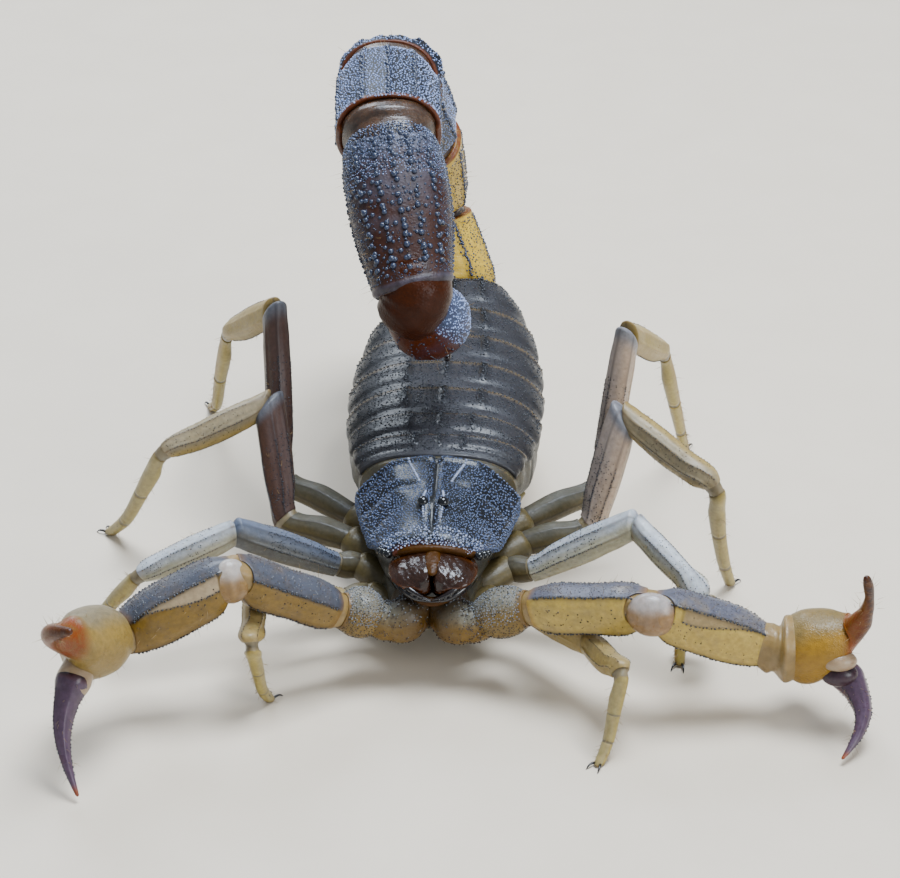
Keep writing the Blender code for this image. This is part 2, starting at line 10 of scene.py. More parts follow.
import bpy
import numpy as np
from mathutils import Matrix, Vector


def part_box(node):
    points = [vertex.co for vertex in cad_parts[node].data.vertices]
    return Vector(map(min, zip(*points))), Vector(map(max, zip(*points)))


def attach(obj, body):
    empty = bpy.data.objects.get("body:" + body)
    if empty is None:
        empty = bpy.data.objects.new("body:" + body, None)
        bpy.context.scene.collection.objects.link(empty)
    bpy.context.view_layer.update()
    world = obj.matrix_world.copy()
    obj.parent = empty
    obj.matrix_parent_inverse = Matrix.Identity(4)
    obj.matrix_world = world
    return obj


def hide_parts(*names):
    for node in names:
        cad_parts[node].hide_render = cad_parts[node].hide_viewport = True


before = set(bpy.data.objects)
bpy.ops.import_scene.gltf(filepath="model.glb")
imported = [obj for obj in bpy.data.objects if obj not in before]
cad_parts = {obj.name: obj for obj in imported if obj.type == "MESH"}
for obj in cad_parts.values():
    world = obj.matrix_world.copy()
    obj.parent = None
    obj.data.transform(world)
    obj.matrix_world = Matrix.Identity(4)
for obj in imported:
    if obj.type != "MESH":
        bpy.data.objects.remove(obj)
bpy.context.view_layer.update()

MM = 0.001
WELD = 0.002                 # points nearer than this are one point
TURNS = 96                   # points kept round each ring
PI = math.pi
ALL_ROUND = (0.0, 2.0 * PI)
UP = np.array([0.0, 0.0, 1.0])
SIDES = ((1, "left"), (-1, "right"))
SEED = 7
draw = np.random.default_rng(SEED)

SHIELD_LOW, SHIELD_HIGH = (np.array(corner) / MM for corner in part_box("head_shield"))
NOSE = np.array([0.5 * (SHIELD_LOW[0] + SHIELD_HIGH[0]), SHIELD_LOW[1], 0.0])
CHEST_FRONT = -1.2           # front end of the chest, from the head's front edge
HEAD_LEAN = 0.22             # how far the jaws and side eyes sit to the animal's left
LEAN = np.array([HEAD_LEAN, 0.0, 0.0])
# Where each leg of one side starts, from the front pair to the rear pair
LEG_ROOTS = ((4.3, 2.1, 4.4), (5.1, 5.2, 4.8), (6.0, 8.4, 4.9), (6.0, 11.6, 4.9))

FLOOR_GAP = 0.01             # how far everything stays over the floor
FLOOR_HALF = 3.0             # half the floor's width in metres
LAMP_SIZE = 0.16             # in metres

# Camera: where it aims from the middle of the head's front edge, and from where it looks
AIM = np.array([0.67, 14.0, 10.29])
AIM_AZIMUTH = 2.81
AIM_ELEVATION = 29.09
AIM_DISTANCE = 231.3
LENS = 128.0
SENSOR_WIDTH = 36.0


def unit(way):
    """The same direction with length 1."""
    way = np.asarray(way, float)
    return way / np.linalg.norm(way, axis=-1, keepdims=True)


def ease(value, low, high):
    """0 below low, 1 above high and a soft step between."""
    share = np.clip((np.asarray(value, float) - low) / (high - low), 0.0, 1.0)
    return share * share * (3.0 - 2.0 * share)


def fall(value, low, high):
    """1 below low, 0 above high and a soft step between."""
    return ease(-value, -high, -low)


def hump(value, middle, width):
    """1 in the middle, falling off softly over width on both sides."""
    return np.exp(-((value - middle) / width) ** 2)


def ridge(turn, place, width):
    """1 on a line along a limb at this turn, falling off softly over width on both sides."""
    gap = (np.asarray(turn, float) - place + PI) % (2.0 * PI) - PI
    return hump(gap, 0.0, width)


def oval(turn, place, half):
    """1 at this turn, falling like the edge of an oval to 0 at half a width away."""
    gap = (np.asarray(turn, float) - place + PI) % (2.0 * PI) - PI
    return np.sqrt(np.clip(1.0 - (gap / half) ** 2, 0.0, 1.0))


def tint(red, green, blue):
    """A colour given as 0 to 255 screen values, as the shader wants it."""
    parts = []
    for part in (red, green, blue):
        part /= 255.0
        parts.append(part / 12.92 if part < 0.04045 else ((part + 0.055) / 1.055) ** 2.4)
    return (*parts, 1.0)


# ---------------------------------------------------------------- reading the frame

def welded(node):
    """Points in millimetres and triangles of a CAD node, with doubled points made one."""
    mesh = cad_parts[node].data
    mesh.calc_loop_triangles()
    spots = np.array([vertex.co for vertex in mesh.vertices], float) / MM
    faces = np.array([triangle.vertices for triangle in mesh.loop_triangles])
    keys = np.round(spots / WELD).astype(np.int64)
    _, first, index = np.unique(keys, axis=0, return_index=True, return_inverse=True)
    return spots[first], index.reshape(-1)[faces]


def flat_ends(spots, faces, sides):
    """Sets of exactly this many points that lie in one plane and carry flat faces."""
    a, b, c = (spots[faces[:, corner]] for corner in range(3))
    normals = np.cross(b - a, c - a)
    areas = np.linalg.norm(normals, axis=1)
    taken = np.zeros(len(faces), bool)
    found = []
    for number in np.argsort(-areas):
        if taken[number] or areas[number] < 1e-5:
            continue
        level = np.abs((spots - a[number]) @ (normals[number] / areas[number])) < 2.0 * WELD
        flat = level[faces].all(axis=1)
        members = np.unique(faces[flat])
        if len(members) == sides and flat.sum() == sides - 2:
            found.append(members)
        taken |= flat
    return found


def cad_rings(node, sides, near):
    """Rings of points of a lofted CAD node, from the flat end nearest to a place."""
    spots, faces = welded(node)
    ends = flat_ends(spots, faces, sides)
    if not ends:
        raise ValueError("no flat end of %d points on %s" % (sides, node))
    row = min(ends, key=lambda end: np.linalg.norm(spots[end].mean(axis=0) - near))
    beside = {}
    for a, b, c in faces:
        for one, two in ((a, b), (b, c), (c, a)):
            beside.setdefault(one, set()).add(two)
            beside.setdefault(two, set()).add(one)
    seen = set(row.tolist())
    rings = []
    while len(row):
        rings.append(spots[list(row)])
        ahead = set()
        for spot in row:
            ahead |= beside[spot]
        row = sorted(ahead - seen)
        seen |= set(row)
    return [ring for ring in rings if len(ring) == sides]


def closed_curve(points, finer=6):
    """Smooth closed curve through points."""
    before, after, beyond = (np.roll(points, step, axis=0) for step in (1, -1, -2))
    found = []
    for step in range(finer):
        t = step / finer
        found.append(0.5 * (2 * points + (after - before) * t
                            + (2 * before - 5 * points + 4 * after - beyond) * t * t
                            + (3 * points - before - 3 * after + beyond) * t ** 3))
    return np.stack(found, axis=1).reshape(-1, 3)


def even_ring(ring, along, up):
    """The ring read at even turns, counted from the up side."""
    centre = ring.mean(axis=0)
    side = np.cross(along, up)
    arms = ring - centre
    arms = arms[np.argsort(np.arctan2(arms @ side, arms @ up))]
    arms = closed_curve(arms)
    turns = np.arctan2(arms @ side, arms @ up)
    wanted = 2.0 * PI * np.arange(TURNS) / TURNS
    return centre + np.stack([np.interp(wanted, turns, arms[:, axis], period=2.0 * PI)
                              for axis in range(3)], axis=1)


def slopes(values, knots):
    """Rates of change at the knots for a smooth curve through values."""
    steps = np.diff(knots)[:, None]
    rates = np.diff(values.reshape(len(knots), -1), axis=0) / steps
    found = np.empty((len(knots), rates.shape[1]))
    found[0], found[-1] = rates[0], rates[-1]
    found[1:-1] = (rates[1:] * steps[:-1] + rates[:-1] * steps[1:]) / (steps[1:] + steps[:-1])
    return found.reshape(values.shape)


class Limb:
    """Smooth surface through the rings of a row of pieces."""

    def __init__(self, pieces, up, near):
        rings = []
        self.span = {}
        for node, sides in pieces:
            found = cad_rings(node, sides, near)
            near = found[-1].mean(axis=0)
            self.span[node] = (len(rings), len(rings) + len(found) - 1)
            rings += found
        self.fill(rings, up)

    def fill(self, rings, up):
        """Reads every ring at even turns, with the up side carried along the limb."""
        self.middle = np.array([ring.mean(axis=0) for ring in rings])
        along = unit(np.gradient(self.middle, axis=0))
        net = []
        for ring, way in zip(rings, along):
            up = unit(up - way * (up @ way))
            net.append(even_ring(np.asarray(ring), way, up))
        self.net = np.array(net)
        steps = np.linalg.norm(np.diff(self.middle, axis=0), axis=1)
        self.knots = np.concatenate([[0.0], np.cumsum(steps)])
        self.net_slopes = slopes(self.net, self.knots)
        self.middle_slopes = slopes(self.middle, self.knots)

    def length(self, node, share):
        """Place along the limb at a share of one piece's stretch."""
        first, last = self.span[node]
        return self.knots[first] + (self.knots[last] - self.knots[first]) * np.asarray(share, float)

    def weights(self, length):
        """The knot before a place, and the four weights of the smooth curve there."""
        index = np.clip(np.searchsorted(self.knots, length, side="right") - 1, 0, len(self.knots) - 2)
        gap = self.knots[index + 1] - self.knots[index]
        t = np.clip((length - self.knots[index]) / gap, -0.5, 1.5)
        return index, ((1 + 2 * t) * (1 - t) ** 2, t * (1 - t) ** 2 * gap,
                       t * t * (3 - 2 * t), t * t * (t - 1) * gap)

    def centre(self, length):
        """Point on the limb's middle line."""
        index, (a, b, c, d) = self.weights(np.asarray(length, float))
        return (self.middle[index] * a[..., None] + self.middle_slopes[index] * b[..., None]
                + self.middle[index + 1] * c[..., None] + self.middle_slopes[index + 1] * d[..., None])

    def point(self, length, turn):
        """Point on the surface."""
        length, turn = np.broadcast_arrays(np.asarray(length, float), np.asarray(turn, float))
        index, (a, b, c, d) = self.weights(length)
        column = (turn / (2.0 * PI) * TURNS) % TURNS
        left = np.floor(column).astype(int) % TURNS
        share = (column - np.floor(column))[..., None]
        found = 0.0
        for col, part in ((left, 1.0 - share), ((left + 1) % TURNS, share)):
            found = found + part * (
                self.net[index, col] * a[..., None] + self.net_slopes[index, col] * b[..., None]
                + self.net[index + 1, col] * c[..., None]
                + self.net_slopes[index + 1, col] * d[..., None])
        return found

    def normal(self, length, turn):
        """Outward direction of the surface."""
        length, turn = np.broadcast_arrays(np.asarray(length, float), np.asarray(turn, float))
        ahead = self.point(length + 0.04, turn) - self.point(length - 0.04, turn)
        round_way = self.point(length, turn + 0.07) - self.point(length, turn - 0.07)
        found = unit(np.cross(round_way, ahead) + 1e-12)
        out = self.point(length, turn) - self.centre(length)
        return found * np.sign((found * out).sum(axis=-1, keepdims=True))


# ---------------------------------------------------------------- meshes

def mesh_piece(name, spots, faces, finish, marks=None, nodes=()):
    """A smooth piece that rides on the body, with its marks kept for the finish to read."""
    mesh = bpy.data.meshes.new(name)
    spots = np.array(spots, float)
    spots[:, 2] = np.maximum(spots[:, 2], FLOOR_GAP)
    mesh.from_pydata((spots * MM).tolist(), [], faces)
    mesh.shade_smooth()
    for mark, values in (marks or {}).items():
        mesh.attributes.new(mark, "FLOAT", "POINT").data.foreach_set(
            "value", np.asarray(values, np.float32).ravel())
    mesh.materials.append(finish)
    finished(in_scene(bpy.data.objects.new(name, mesh)), nodes)


def in_scene(made):
    """The same object, added to the scene."""
    bpy.context.scene.collection.objects.link(made)
    return made


def finished(made, nodes=()):
    """Hangs a piece on the body's root and hides the solids it stands for."""
    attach(made, "root")
    if nodes:
        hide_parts(*nodes)


def volume_sign(spots, faces):
    """Above 0 where the faces point outwards."""
    total = 0.0
    for face in faces:
        a = spots[face[0]]
        for two, three in zip(face[1:], face[2:]):
            total += np.dot(a, np.cross(spots[two], spots[three]))
    return total


def tube_faces(rows, turns):
    """Faces of a closed tube of rows by turns points; its two poles come after the last row."""
    faces = []
    for row in range(rows - 1):
        for turn in range(turns):
            after = (turn + 1) % turns
            faces.append((row * turns + turn, row * turns + after,
                          (row + 1) * turns + after, (row + 1) * turns + turn))
    first, last = rows * turns, rows * turns + 1
    for turn in range(turns):
        after = (turn + 1) % turns
        faces.append((after, turn, first))
        faces.append(((rows - 1) * turns + turn, (rows - 1) * turns + after, last))
    return faces


def closed_tube(grid):
    """Points and outward faces of a closed tube through rows of points."""
    spots, faces = capped(grid), tube_faces(*grid.shape[:2])
    coarse = grid[::max(1, len(grid) // 12), ::max(1, grid.shape[1] // 12)]
    rough = capped(coarse)
    if volume_sign(rough - rough.mean(axis=0), tube_faces(*coarse.shape[:2])) < 0.0:
        faces = [face[::-1] for face in faces]
    return spots, faces


def capped(grid):
    """Points of a grid in one row, then the pole at each of its ends."""
    return np.concatenate([grid.reshape(-1, 3), grid[:1].mean(axis=1), grid[-1:].mean(axis=1)])


def tube_piece(name, grid, finish, marks=None, nodes=()):
    """Closed tube through rows of points."""
    spots, faces = closed_tube(grid)
    kept = {}
    for mark, values in (marks or {}).items():
        values = np.broadcast_to(values, grid.shape[:2])
        kept[mark] = np.concatenate([values.ravel(), [values[0].mean(), values[-1].mean()]])
    mesh_piece(name, spots, faces, finish, kept, nodes)


def joined_tubes(name, grids, finish, nodes=()):
    """Several closed rods or lobes in one mesh."""
    spots, faces, first = [], [], 0
    for grid in grids:
        own, sides = closed_tube(grid)
        faces += [tuple(first + spot for spot in face) for face in sides]
        spots.append(own)
        first += len(own)
    mesh_piece(name, np.concatenate(spots), faces, finish, None, nodes)


def rolled_in(edge, centre, inward):
    """Rows that turn an open rim into a rounded lip with a shallow floor."""
    arms = edge - centre
    size = np.linalg.norm(arms, axis=1).mean()
    rows = []
    for scale, depth in ((0.985, -0.02), (0.95, -0.025), (0.90, 0.01), (0.84, 0.10), (0.55, 0.22)):
        rows.append(centre + arms * scale + inward * depth * size)
    return rows


def drawn_out(edge, centre, outward, tip):
    """Rows that close an end with a blunt point."""
    arms = edge - centre
    size = np.linalg.norm(arms, axis=1).mean()
    rows = []
    for angle in np.linspace(0.12, 1.45, 9):
        rows.append(centre + arms * math.cos(angle) + outward * size * tip * math.sin(angle))
    return rows


def rounded(grid):
    """The same rod with its two ends closed by soft domes."""
    domes = []
    for end, before in ((grid[0], grid[1]), (grid[-1], grid[-2])):
        centre = end.mean(axis=0)
        size = np.linalg.norm(end - centre, axis=1).mean()
        out = unit(centre - before.mean(axis=0))
        domes.append(np.array([
            centre + (end - centre) * math.cos(angle) + out * size * 0.6 * math.sin(angle)
            for angle in (0.35, 0.7, 1.05, 1.35)]))
    return np.concatenate([domes[0][::-1], grid, domes[1]])


def shell(name, limb, node, finish, relief=None, marks=None, start=0.03, end=0.97,
          rows=70, turns=96, replaces=None, tip=0.0, even=(0.0, 1.0)):
    """Horny tube over one piece of a limb; start and end may change with the turn.

    A tip above 0 draws the far end out into a point that many end widths long. Outside the two
    shares in even the tube runs straight on and keeps its thickness.
    """
    turn = 2.0 * PI * np.arange(turns) / turns
    low = start(turn) if callable(start) else np.full(turns, start)
    high = end(turn) if callable(end) else np.full(turns, end)
    share = low + (high - low) * np.linspace(0.0, 1.0, rows)[:, None]
    turn = np.broadcast_to(turn, share.shape)
    held = np.clip(share, *even)
    length = limb.length(node, held)
    grid = limb.point(length, turn)
    if relief is not None:
        grid = grid + limb.normal(length, turn) * relief(share, turn)[..., None]
    beyond = ((share - held) * (limb.length(node, 1.0) - limb.length(node, 0.0)))[..., None]
    back, ahead = (unit(limb.centre(limb.length(node, place) + 0.15)
                        - limb.centre(limb.length(node, place) - 0.15)) for place in even)
    grid = grid + np.minimum(beyond, 0.0) * back + np.maximum(beyond, 0.0) * ahead
    first, last = grid[0].mean(axis=0), grid[-1].mean(axis=0)
    inward = unit(limb.centre(length[0].mean() + 0.3) - limb.centre(length[0].mean()))
    outward = unit(limb.centre(length[-1].mean()) - limb.centre(length[-1].mean() - 0.3))
    opening = drawn_out(grid[0], first, -inward, 0.4) if even[0] else rolled_in(grid[0], first, inward)
    closing = drawn_out(grid[-1], last, outward, tip) if tip else rolled_in(grid[-1], last, -outward)
    whole = np.concatenate([opening[::-1], grid, closing])
    kept = {}
    for mark, values in (marks(share, turn) if marks else {}).items():
        values = np.broadcast_to(values, share.shape)
        kept[mark] = np.concatenate([np.repeat(values[:1], len(opening), axis=0), values,
                                     np.repeat(values[-1:], len(closing), axis=0)])
    tube_piece(name, whole, finish, kept, (node,) if replaces is None else replaces)


def skin(name, limb, low, high, finish, fill, wrinkle=0.0, rows=160, turns=64, nodes=()):
    """Soft skin inside the shells, which shows where they leave it bare; fill is its share of them."""
    length, turn = np.broadcast_arrays(np.linspace(low, high, rows)[:, None],
                                       2.0 * PI * np.arange(turns)[None] / turns)
    size = np.broadcast_to(fill(length, turn) if callable(fill) else fill, length.shape)[..., None]
    centre = limb.centre(length)
    grid = centre + (limb.point(length, turn) - centre) * size
    if wrinkle:
        folds = wrinkle * np.sin(length * 17.0 + 1.3 * np.sin(3.0 * turn))
        grid = grid + limb.normal(length, turn) * folds[..., None]
    tube_piece(name, grid, finish, None, nodes)


def pillow_piece(name, outer, inner, finish, marks=None, nodes=()):
    """Closed thin plate between an outer and an inner sheet of points."""
    rows, columns = outer.shape[:2]
    spots = np.concatenate([outer.reshape(-1, 3), inner.reshape(-1, 3)])
    under = rows * columns
    faces = []
    for row in range(rows - 1):
        for column in range(columns - 1):
            a = row * columns + column
            faces.append((a, a + 1, a + columns + 1, a + columns))
            faces.append((under + a, under + a + columns, under + a + columns + 1, under + a + 1))
    for column in range(columns - 1):
        for a, flip in ((column, True), ((rows - 1) * columns + column, False)):
            face = (a, a + 1, under + a + 1, under + a)
            faces.append(face[::-1] if flip else face)
    for row in range(rows - 1):
        for a, flip in ((row * columns, False), (row * columns + columns - 1, True)):
            face = (a, a + columns, under + a + columns, under + a)
            faces.append(face[::-1] if flip else face)
    across = np.cross(outer[1, 0] - outer[0, 0], outer[0, 1] - outer[0, 0])
    if across @ (outer[0, 0] - inner[0, 0]) > 0.0:
        faces = [face[::-1] for face in faces]
    kept = {mark: np.concatenate([np.broadcast_to(values, outer.shape[:2]).ravel()] * 2)
            for mark, values in (marks or {}).items()}
    mesh_piece(name, spots, faces, finish, kept, nodes)


def sweep(path, radii, up=UP, turns=10, flat=1.0):
    """Rows of points of a round rod along a path; flat squeezes it across."""
    path, radii = np.asarray(path, float), np.asarray(radii, float)
    along = unit(np.gradient(path, axis=0))
    turn = 2.0 * PI * np.arange(turns) / turns
    rows = []
    for spot, way, radius in zip(path, along, radii):
        up = unit(up - way * (up @ way))
        side = np.cross(way, up)
        rows.append(spot + radius * (np.cos(turn)[:, None] * up + flat * np.sin(turn)[:, None] * side))
    return np.array(rows)


def smooth_path(points, count):
    """Even smooth line through points."""
    points = np.asarray(points, float)
    knots = np.concatenate([[0.0], np.cumsum(np.linalg.norm(np.diff(points, axis=0), axis=1))])
    rates = slopes(points, knots)
    places = np.linspace(0.0, knots[-1], count)
    index = np.clip(np.searchsorted(knots, places, side="right") - 1, 0, len(knots) - 2)
    gap = (knots[index + 1] - knots[index])[:, None]
    t = (places[:, None] - knots[index][:, None]) / gap
    return (points[index] * (1 + 2 * t) * (1 - t) ** 2 + rates[index] * t * (1 - t) ** 2 * gap
            + points[index + 1] * t * t * (3 - 2 * t) + rates[index + 1] * t * t * (t - 1) * gap)


# ---------------------------------------------------------------- finishes

COAT_ROUGHNESS = 0.18
SKY_TINT = (0.80, 0.89, 1.0, 1.0)
GLOW_RADII = (1.0, 0.55, 0.25)
GLOW_DEPTH = 0.45            # how deep light goes into horn and skin, in millimetres


def add_node(tree, kind, *values, **settings):
    """A new node with its settings, and with numbers or other nodes' outputs on its sockets."""
    node = tree.nodes.new(kind)
    for setting, value in settings.items():
        setattr(node, setting, value)
    for socket, value in values:
        put(tree, value, node.inputs[socket])
    return node


def put(tree, value, socket):
    """Puts a number, a colour or another node's output on a socket."""
    if isinstance(value, bpy.types.NodeSocket):
        tree.links.new(value, socket)
    else:
        socket.default_value = value


class Finish:
    """A shader being put together, with short names for the nodes it needs."""

    def __init__(self, name, roughness=0.4, coat=0.0, depth=0.0, shine=0.5):
        self.material = bpy.data.materials.new(name)
        self.material.use_nodes = True
        self.tree = self.material.node_tree
        self.shader = self.tree.nodes["Principled BSDF"]
        for socket, value in (("Roughness", roughness), ("Specular IOR Level", shine),
                              ("Coat Weight", coat), ("Coat Roughness", COAT_ROUGHNESS),
                              ("Specular Tint", SKY_TINT), ("Coat Tint", SKY_TINT),
                              ("Subsurface Weight", depth), ("Subsurface Radius", GLOW_RADII),
                              ("Subsurface Scale", GLOW_DEPTH * MM)):
            self.shader.inputs[socket].default_value = value
        self.place = self.tree.nodes.new("ShaderNodeTexCoord").outputs["Object"]

    def node(self, kind, *values, **settings):
        """A new shader node."""
        return add_node(self.tree, "ShaderNode" + kind, *values, **settings)

    def mark(self, name):
        """A mark that was kept on the mesh."""
        return self.node("Attribute", attribute_name=name).outputs["Fac"]

    def noise(self, size, detail=3.0, roughness=0.55, warp=0.0):
        """Soft mottle with spots about size millimetres across."""
        return self.node("TexNoise", ("Scale", 1.0 / (size * MM)), ("Detail", detail), ("Distortion", warp),
                         ("Roughness", roughness), ("Vector", self.place)).outputs["Fac"]

    def cells(self, size):
        """Distance from the middle of cells about size millimetres across."""
        return self.node("TexVoronoi", ("Scale", 1.0 / (size * MM)),
                         ("Vector", self.place)).outputs["Distance"]

    def spread(self, value, low, high, to_low=0.0, to_high=1.0):
        """A value read between low and high and carried over to a new range."""
        return self.node("MapRange", ("From Min", low), ("From Max", high), ("To Min", to_low),
                         ("To Max", to_high), ("Value", value)).outputs["Result"]

    def sum(self, first, second, how="ADD"):
        """Two values put together, kept between 0 and 1."""
        return self.node("Math", (0, first), (1, second), operation=how, use_clamp=True).outputs[0]

    def mix(self, share, first, second, how="MIX"):
        """Two colours mixed by share."""
        node = self.node("Mix", ("Factor", share), data_type="RGBA", blend_type=how)
        colours = [socket for socket in node.inputs if socket.type == "RGBA"]
        put(self.tree, first, colours[0])
        put(self.tree, second, colours[1])
        return [socket for socket in node.outputs if socket.type == "RGBA"][0]

    def colour(self, value):
        """Sets the colour."""
        put(self.tree, value, self.shader.inputs["Base Color"])

    def gloss(self, value):
        """Sets the roughness."""
        put(self.tree, value, self.shader.inputs["Roughness"])

    def relief(self, height, depth, strength=0.6):
        """Adds a fine relief of this depth in millimetres over what is there."""
        node = self.node("Bump", ("Strength", strength), ("Distance", depth * MM), ("Height", height))
        normal = self.shader.inputs["Normal"]
        if normal.is_linked:
            self.tree.links.new(normal.links[0].from_socket, node.inputs["Normal"])
        self.tree.links.new(node.outputs["Normal"], normal)


def horn(name, low, high, rim, stain, roughness, grain=0.2, depth=0.03, coat=0.0, body=0.08,
         panel=None, shine=0.34):
    """Horny shell: low and high are its colours under and on top, rim and stain are marked places."""
    look = Finish(name, coat=coat, depth=body, shine=shine)
    wide, fine = look.noise(1.6, 4.0, 0.6), look.noise(0.35, 3.0)
    on_top = look.sum(look.mark("upper"), look.spread(wide, 0.3, 0.7, -0.22, 0.22))
    shade = look.mix(on_top, tint(*low), tint(*high))
    # On the arms this colour marks a lighter patch of the fore piece; on the thighs it is a painted sky
    # reflection at the knee end
    if panel:
        shade = look.mix(look.mark("panel"), shade, tint(*panel))
    for mark, colour, least, weakest in (("rim", rim, 0.2, 0.55), ("stain", stain, 0.25, 0.35)):
        patchy = look.spread(fine, least, 0.6, weakest, 1.0)
        shade = look.mix(look.sum(look.mark(mark), patchy, "MULTIPLY"), shade, tint(*colour))
    shade = look.mix(1.0, shade, look.spread(fine, 0.2, 0.8, 0.72, 1.22), "MULTIPLY")
    look.colour(shade)
    look.gloss(look.spread(wide, 0.3, 0.7, *roughness))
    if grain:
        look.relief(look.spread(look.cells(grain), 0.0, 0.6, 1.0, 0.0), depth)
    look.relief(look.noise(0.09, 2.0), 0.010)
    return look.material


# Horny shell: its colours underneath, on top, on marked rims and on marked stains, its roughness, and
# what else sets it apart from plain horn
HORNS = {
    "shield horn": ((17, 18, 22), (22, 24, 30), (92, 40, 16), (10, 10, 13),
                    (0.24, 0.42), dict(grain=0.14, coat=0.2)),
    "back plate horn": ((38, 36, 36), (50, 50, 56), (104, 88, 62), (20, 19, 22),
                        (0.28, 0.5), dict(grain=0.15, coat=0.15)),
    "belly plate horn": ((132, 118, 66), (142, 126, 74), (96, 72, 36), (70, 56, 32),
                         (0.28, 0.42), dict(grain=0.0, coat=0.15, body=0.15)),
    "jaw horn": ((74, 36, 4), (40, 22, 12), (74, 36, 3), (7, 5, 5),
                 (0.15, 0.32), dict(grain=0.26, depth=0.035, coat=0.25, body=0.0)),
    "lip horn": ((62, 36, 2), (62, 36, 2), (62, 36, 2), (40, 20, 2),
                 (0.3, 0.5), dict(grain=0.3, body=0.0, shine=0.14)),
    "left arm horn": ((178, 154, 78), (86, 88, 102), (150, 108, 36), (34, 26, 22),
        (0.26, 0.42), dict(grain=0.22, depth=0.016, coat=0.08, body=0.2, panel=(140, 122, 92))),
    # The right arm's horn is a darker copy of the left arm's above: painted shade on that side of the
    # animal
    "right arm horn": ((122, 96, 36), (72, 76, 88), (116, 82, 26), (30, 24, 22),
        (0.26, 0.42), dict(grain=0.22, depth=0.016, coat=0.08, body=0.18, panel=(170, 154, 128))),
    # Darkened as painted shade: the arm roots under the head lie in shadow
    "arm base horn with painted shade": ((110, 84, 28), (106, 104, 92), (64, 43, 12), (62, 46, 30),
                      (0.32, 0.48), dict(body=0.1)),
    "arm root horn with painted shade": ((82, 56, 16), (78, 62, 34), (62, 36, 12), (34, 22, 12),
                      (0.32, 0.48), dict(grain=0.3, body=0.1)),
    # An olive tone darkened as painted shade: the leg roots beside the shield lie in shadow
    "leg root horn with painted shade": ((84, 74, 44), (80, 78, 68), (72, 54, 28), (40, 30, 22),
                      (0.34, 0.5), dict(grain=0.3, depth=0.02, body=0.1)),
    "shoulder horn": ((124, 100, 46), (112, 110, 98), (108, 82, 38), (62, 46, 30),
                      (0.3, 0.44), dict(depth=0.02, coat=0.05, body=0.15)),
    "left hand horn": ((142, 108, 30), (118, 100, 58), (116, 56, 0), (40, 14, 4),
                       (0.28, 0.42), dict(grain=0.12, body=0.06)),
    "right hand horn": ((134, 112, 58), (118, 108, 84), (110, 50, 0), (40, 14, 4),
                        (0.28, 0.42), dict(grain=0.12, body=0.06)),
    "finger horn": ((92, 50, 52), (80, 62, 80), (128, 60, 16), (34, 20, 26),
                    (0.24, 0.4), dict(depth=0.014, coat=0.2)),
    # Painted shade: this is the darker copy of the pale leg horn, used on the right second thigh
    "leg horn": ((102, 104, 104), (90, 100, 120), (132, 112, 56), (44, 38, 38),
                 (0.34, 0.5), dict(depth=0.014, coat=0.05, body=0.15)),
    "pale leg horn": ((168, 166, 146), (168, 176, 186), (150, 132, 58), (84, 76, 70),
                      (0.32, 0.48), dict(depth=0.014, coat=0.05, body=0.2)),
    "lower leg horn": ((150, 130, 76), (138, 128, 104), (140, 120, 44), (84, 68, 50),
                       (0.34, 0.5), dict(depth=0.012, coat=0.05, body=0.22)),
    # Painted shade: the darker copy of the grey leg horn below, used on the right rear thighs
    "right leg horn with painted shade": ((64, 42, 30), (66, 48, 42), (96, 66, 30), (28, 20, 20),
                      # The last colour here and in the grey leg horn is the painted sky reflection at the
                      # knee end
                      (0.34, 0.5), dict(depth=0.014, coat=0.05, body=0.1, panel=(84, 86, 94))),
    "grey leg horn": ((172, 152, 134), (152, 140, 132), (134, 112, 66), (56, 48, 46),
                      (0.34, 0.5), dict(depth=0.014, coat=0.05, body=0.12, panel=(114, 116, 124))),
    "foot horn": ((158, 142, 78), (152, 140, 96), (142, 116, 44), (84, 66, 40),
                  (0.28, 0.42), dict(grain=0.0, coat=0.05, body=0.25)),
    "front tail horn": ((192, 160, 54), (100, 98, 100), (104, 52, 20), (36, 30, 30),
                        (0.3, 0.5), dict(grain=0.17, depth=0.025, coat=0.15)),
    "rear tail horn": ((17, 19, 26), (17, 19, 28), (84, 40, 10), (14, 14, 18),
                       (0.34, 0.5), dict(grain=0.17, depth=0.025)),
    "last tail horn": ((50, 24, 12), (80, 84, 102), (40, 18, 10), (16, 9, 9),
                       (0.36, 0.52), dict(depth=0.02)),
    "sting horn": ((70, 27, 0), (62, 72, 98), (44, 18, 8), (34, 12, 4),
                   (0.38, 0.52), dict(depth=0.02, body=0.0, shine=0.14)),
    "tail end joint": ((52, 22, 4), (34, 16, 8), (64, 26, 2), (16, 7, 4),
                       (0.28, 0.46), dict(body=0.0, shine=0.16)),
    "sting point horn": ((32, 12, 8), (24, 10, 8), (16, 8, 6), (10, 6, 6),
                         (0.14, 0.24), dict(grain=0.0, coat=0.5)),
    "left elbow skin": ((142, 112, 76), (160, 154, 152), (150, 128, 100), (112, 90, 70),
                        (0.2, 0.34), dict(grain=0.0, coat=0.15, body=0.3)),
    "right elbow skin": ((140, 110, 66), (170, 164, 160), (110, 84, 50), (92, 66, 44),
                         (0.22, 0.36), dict(grain=0.0, coat=0.15, body=0.2)),
}

# Soft skin: its lighter and darker colour, and its roughness
SOFT_SKINS = {
    "pale joint skin": ((132, 120, 92), (104, 92, 68), 0.34),
    "arm joint skin": ((150, 124, 74), (122, 98, 54), 0.34),
    # Darkened as painted shade: the skin under the sides of the shield
    "head skin with painted shade": ((50, 46, 34), (26, 24, 20), 0.34),
    "finger joint skin": ((172, 150, 122), (136, 112, 84), 0.26),
    "tail joint skin": ((84, 62, 46), (40, 28, 20), 0.22),
    "side skin": ((84, 76, 52), (52, 48, 38), 0.34),
}

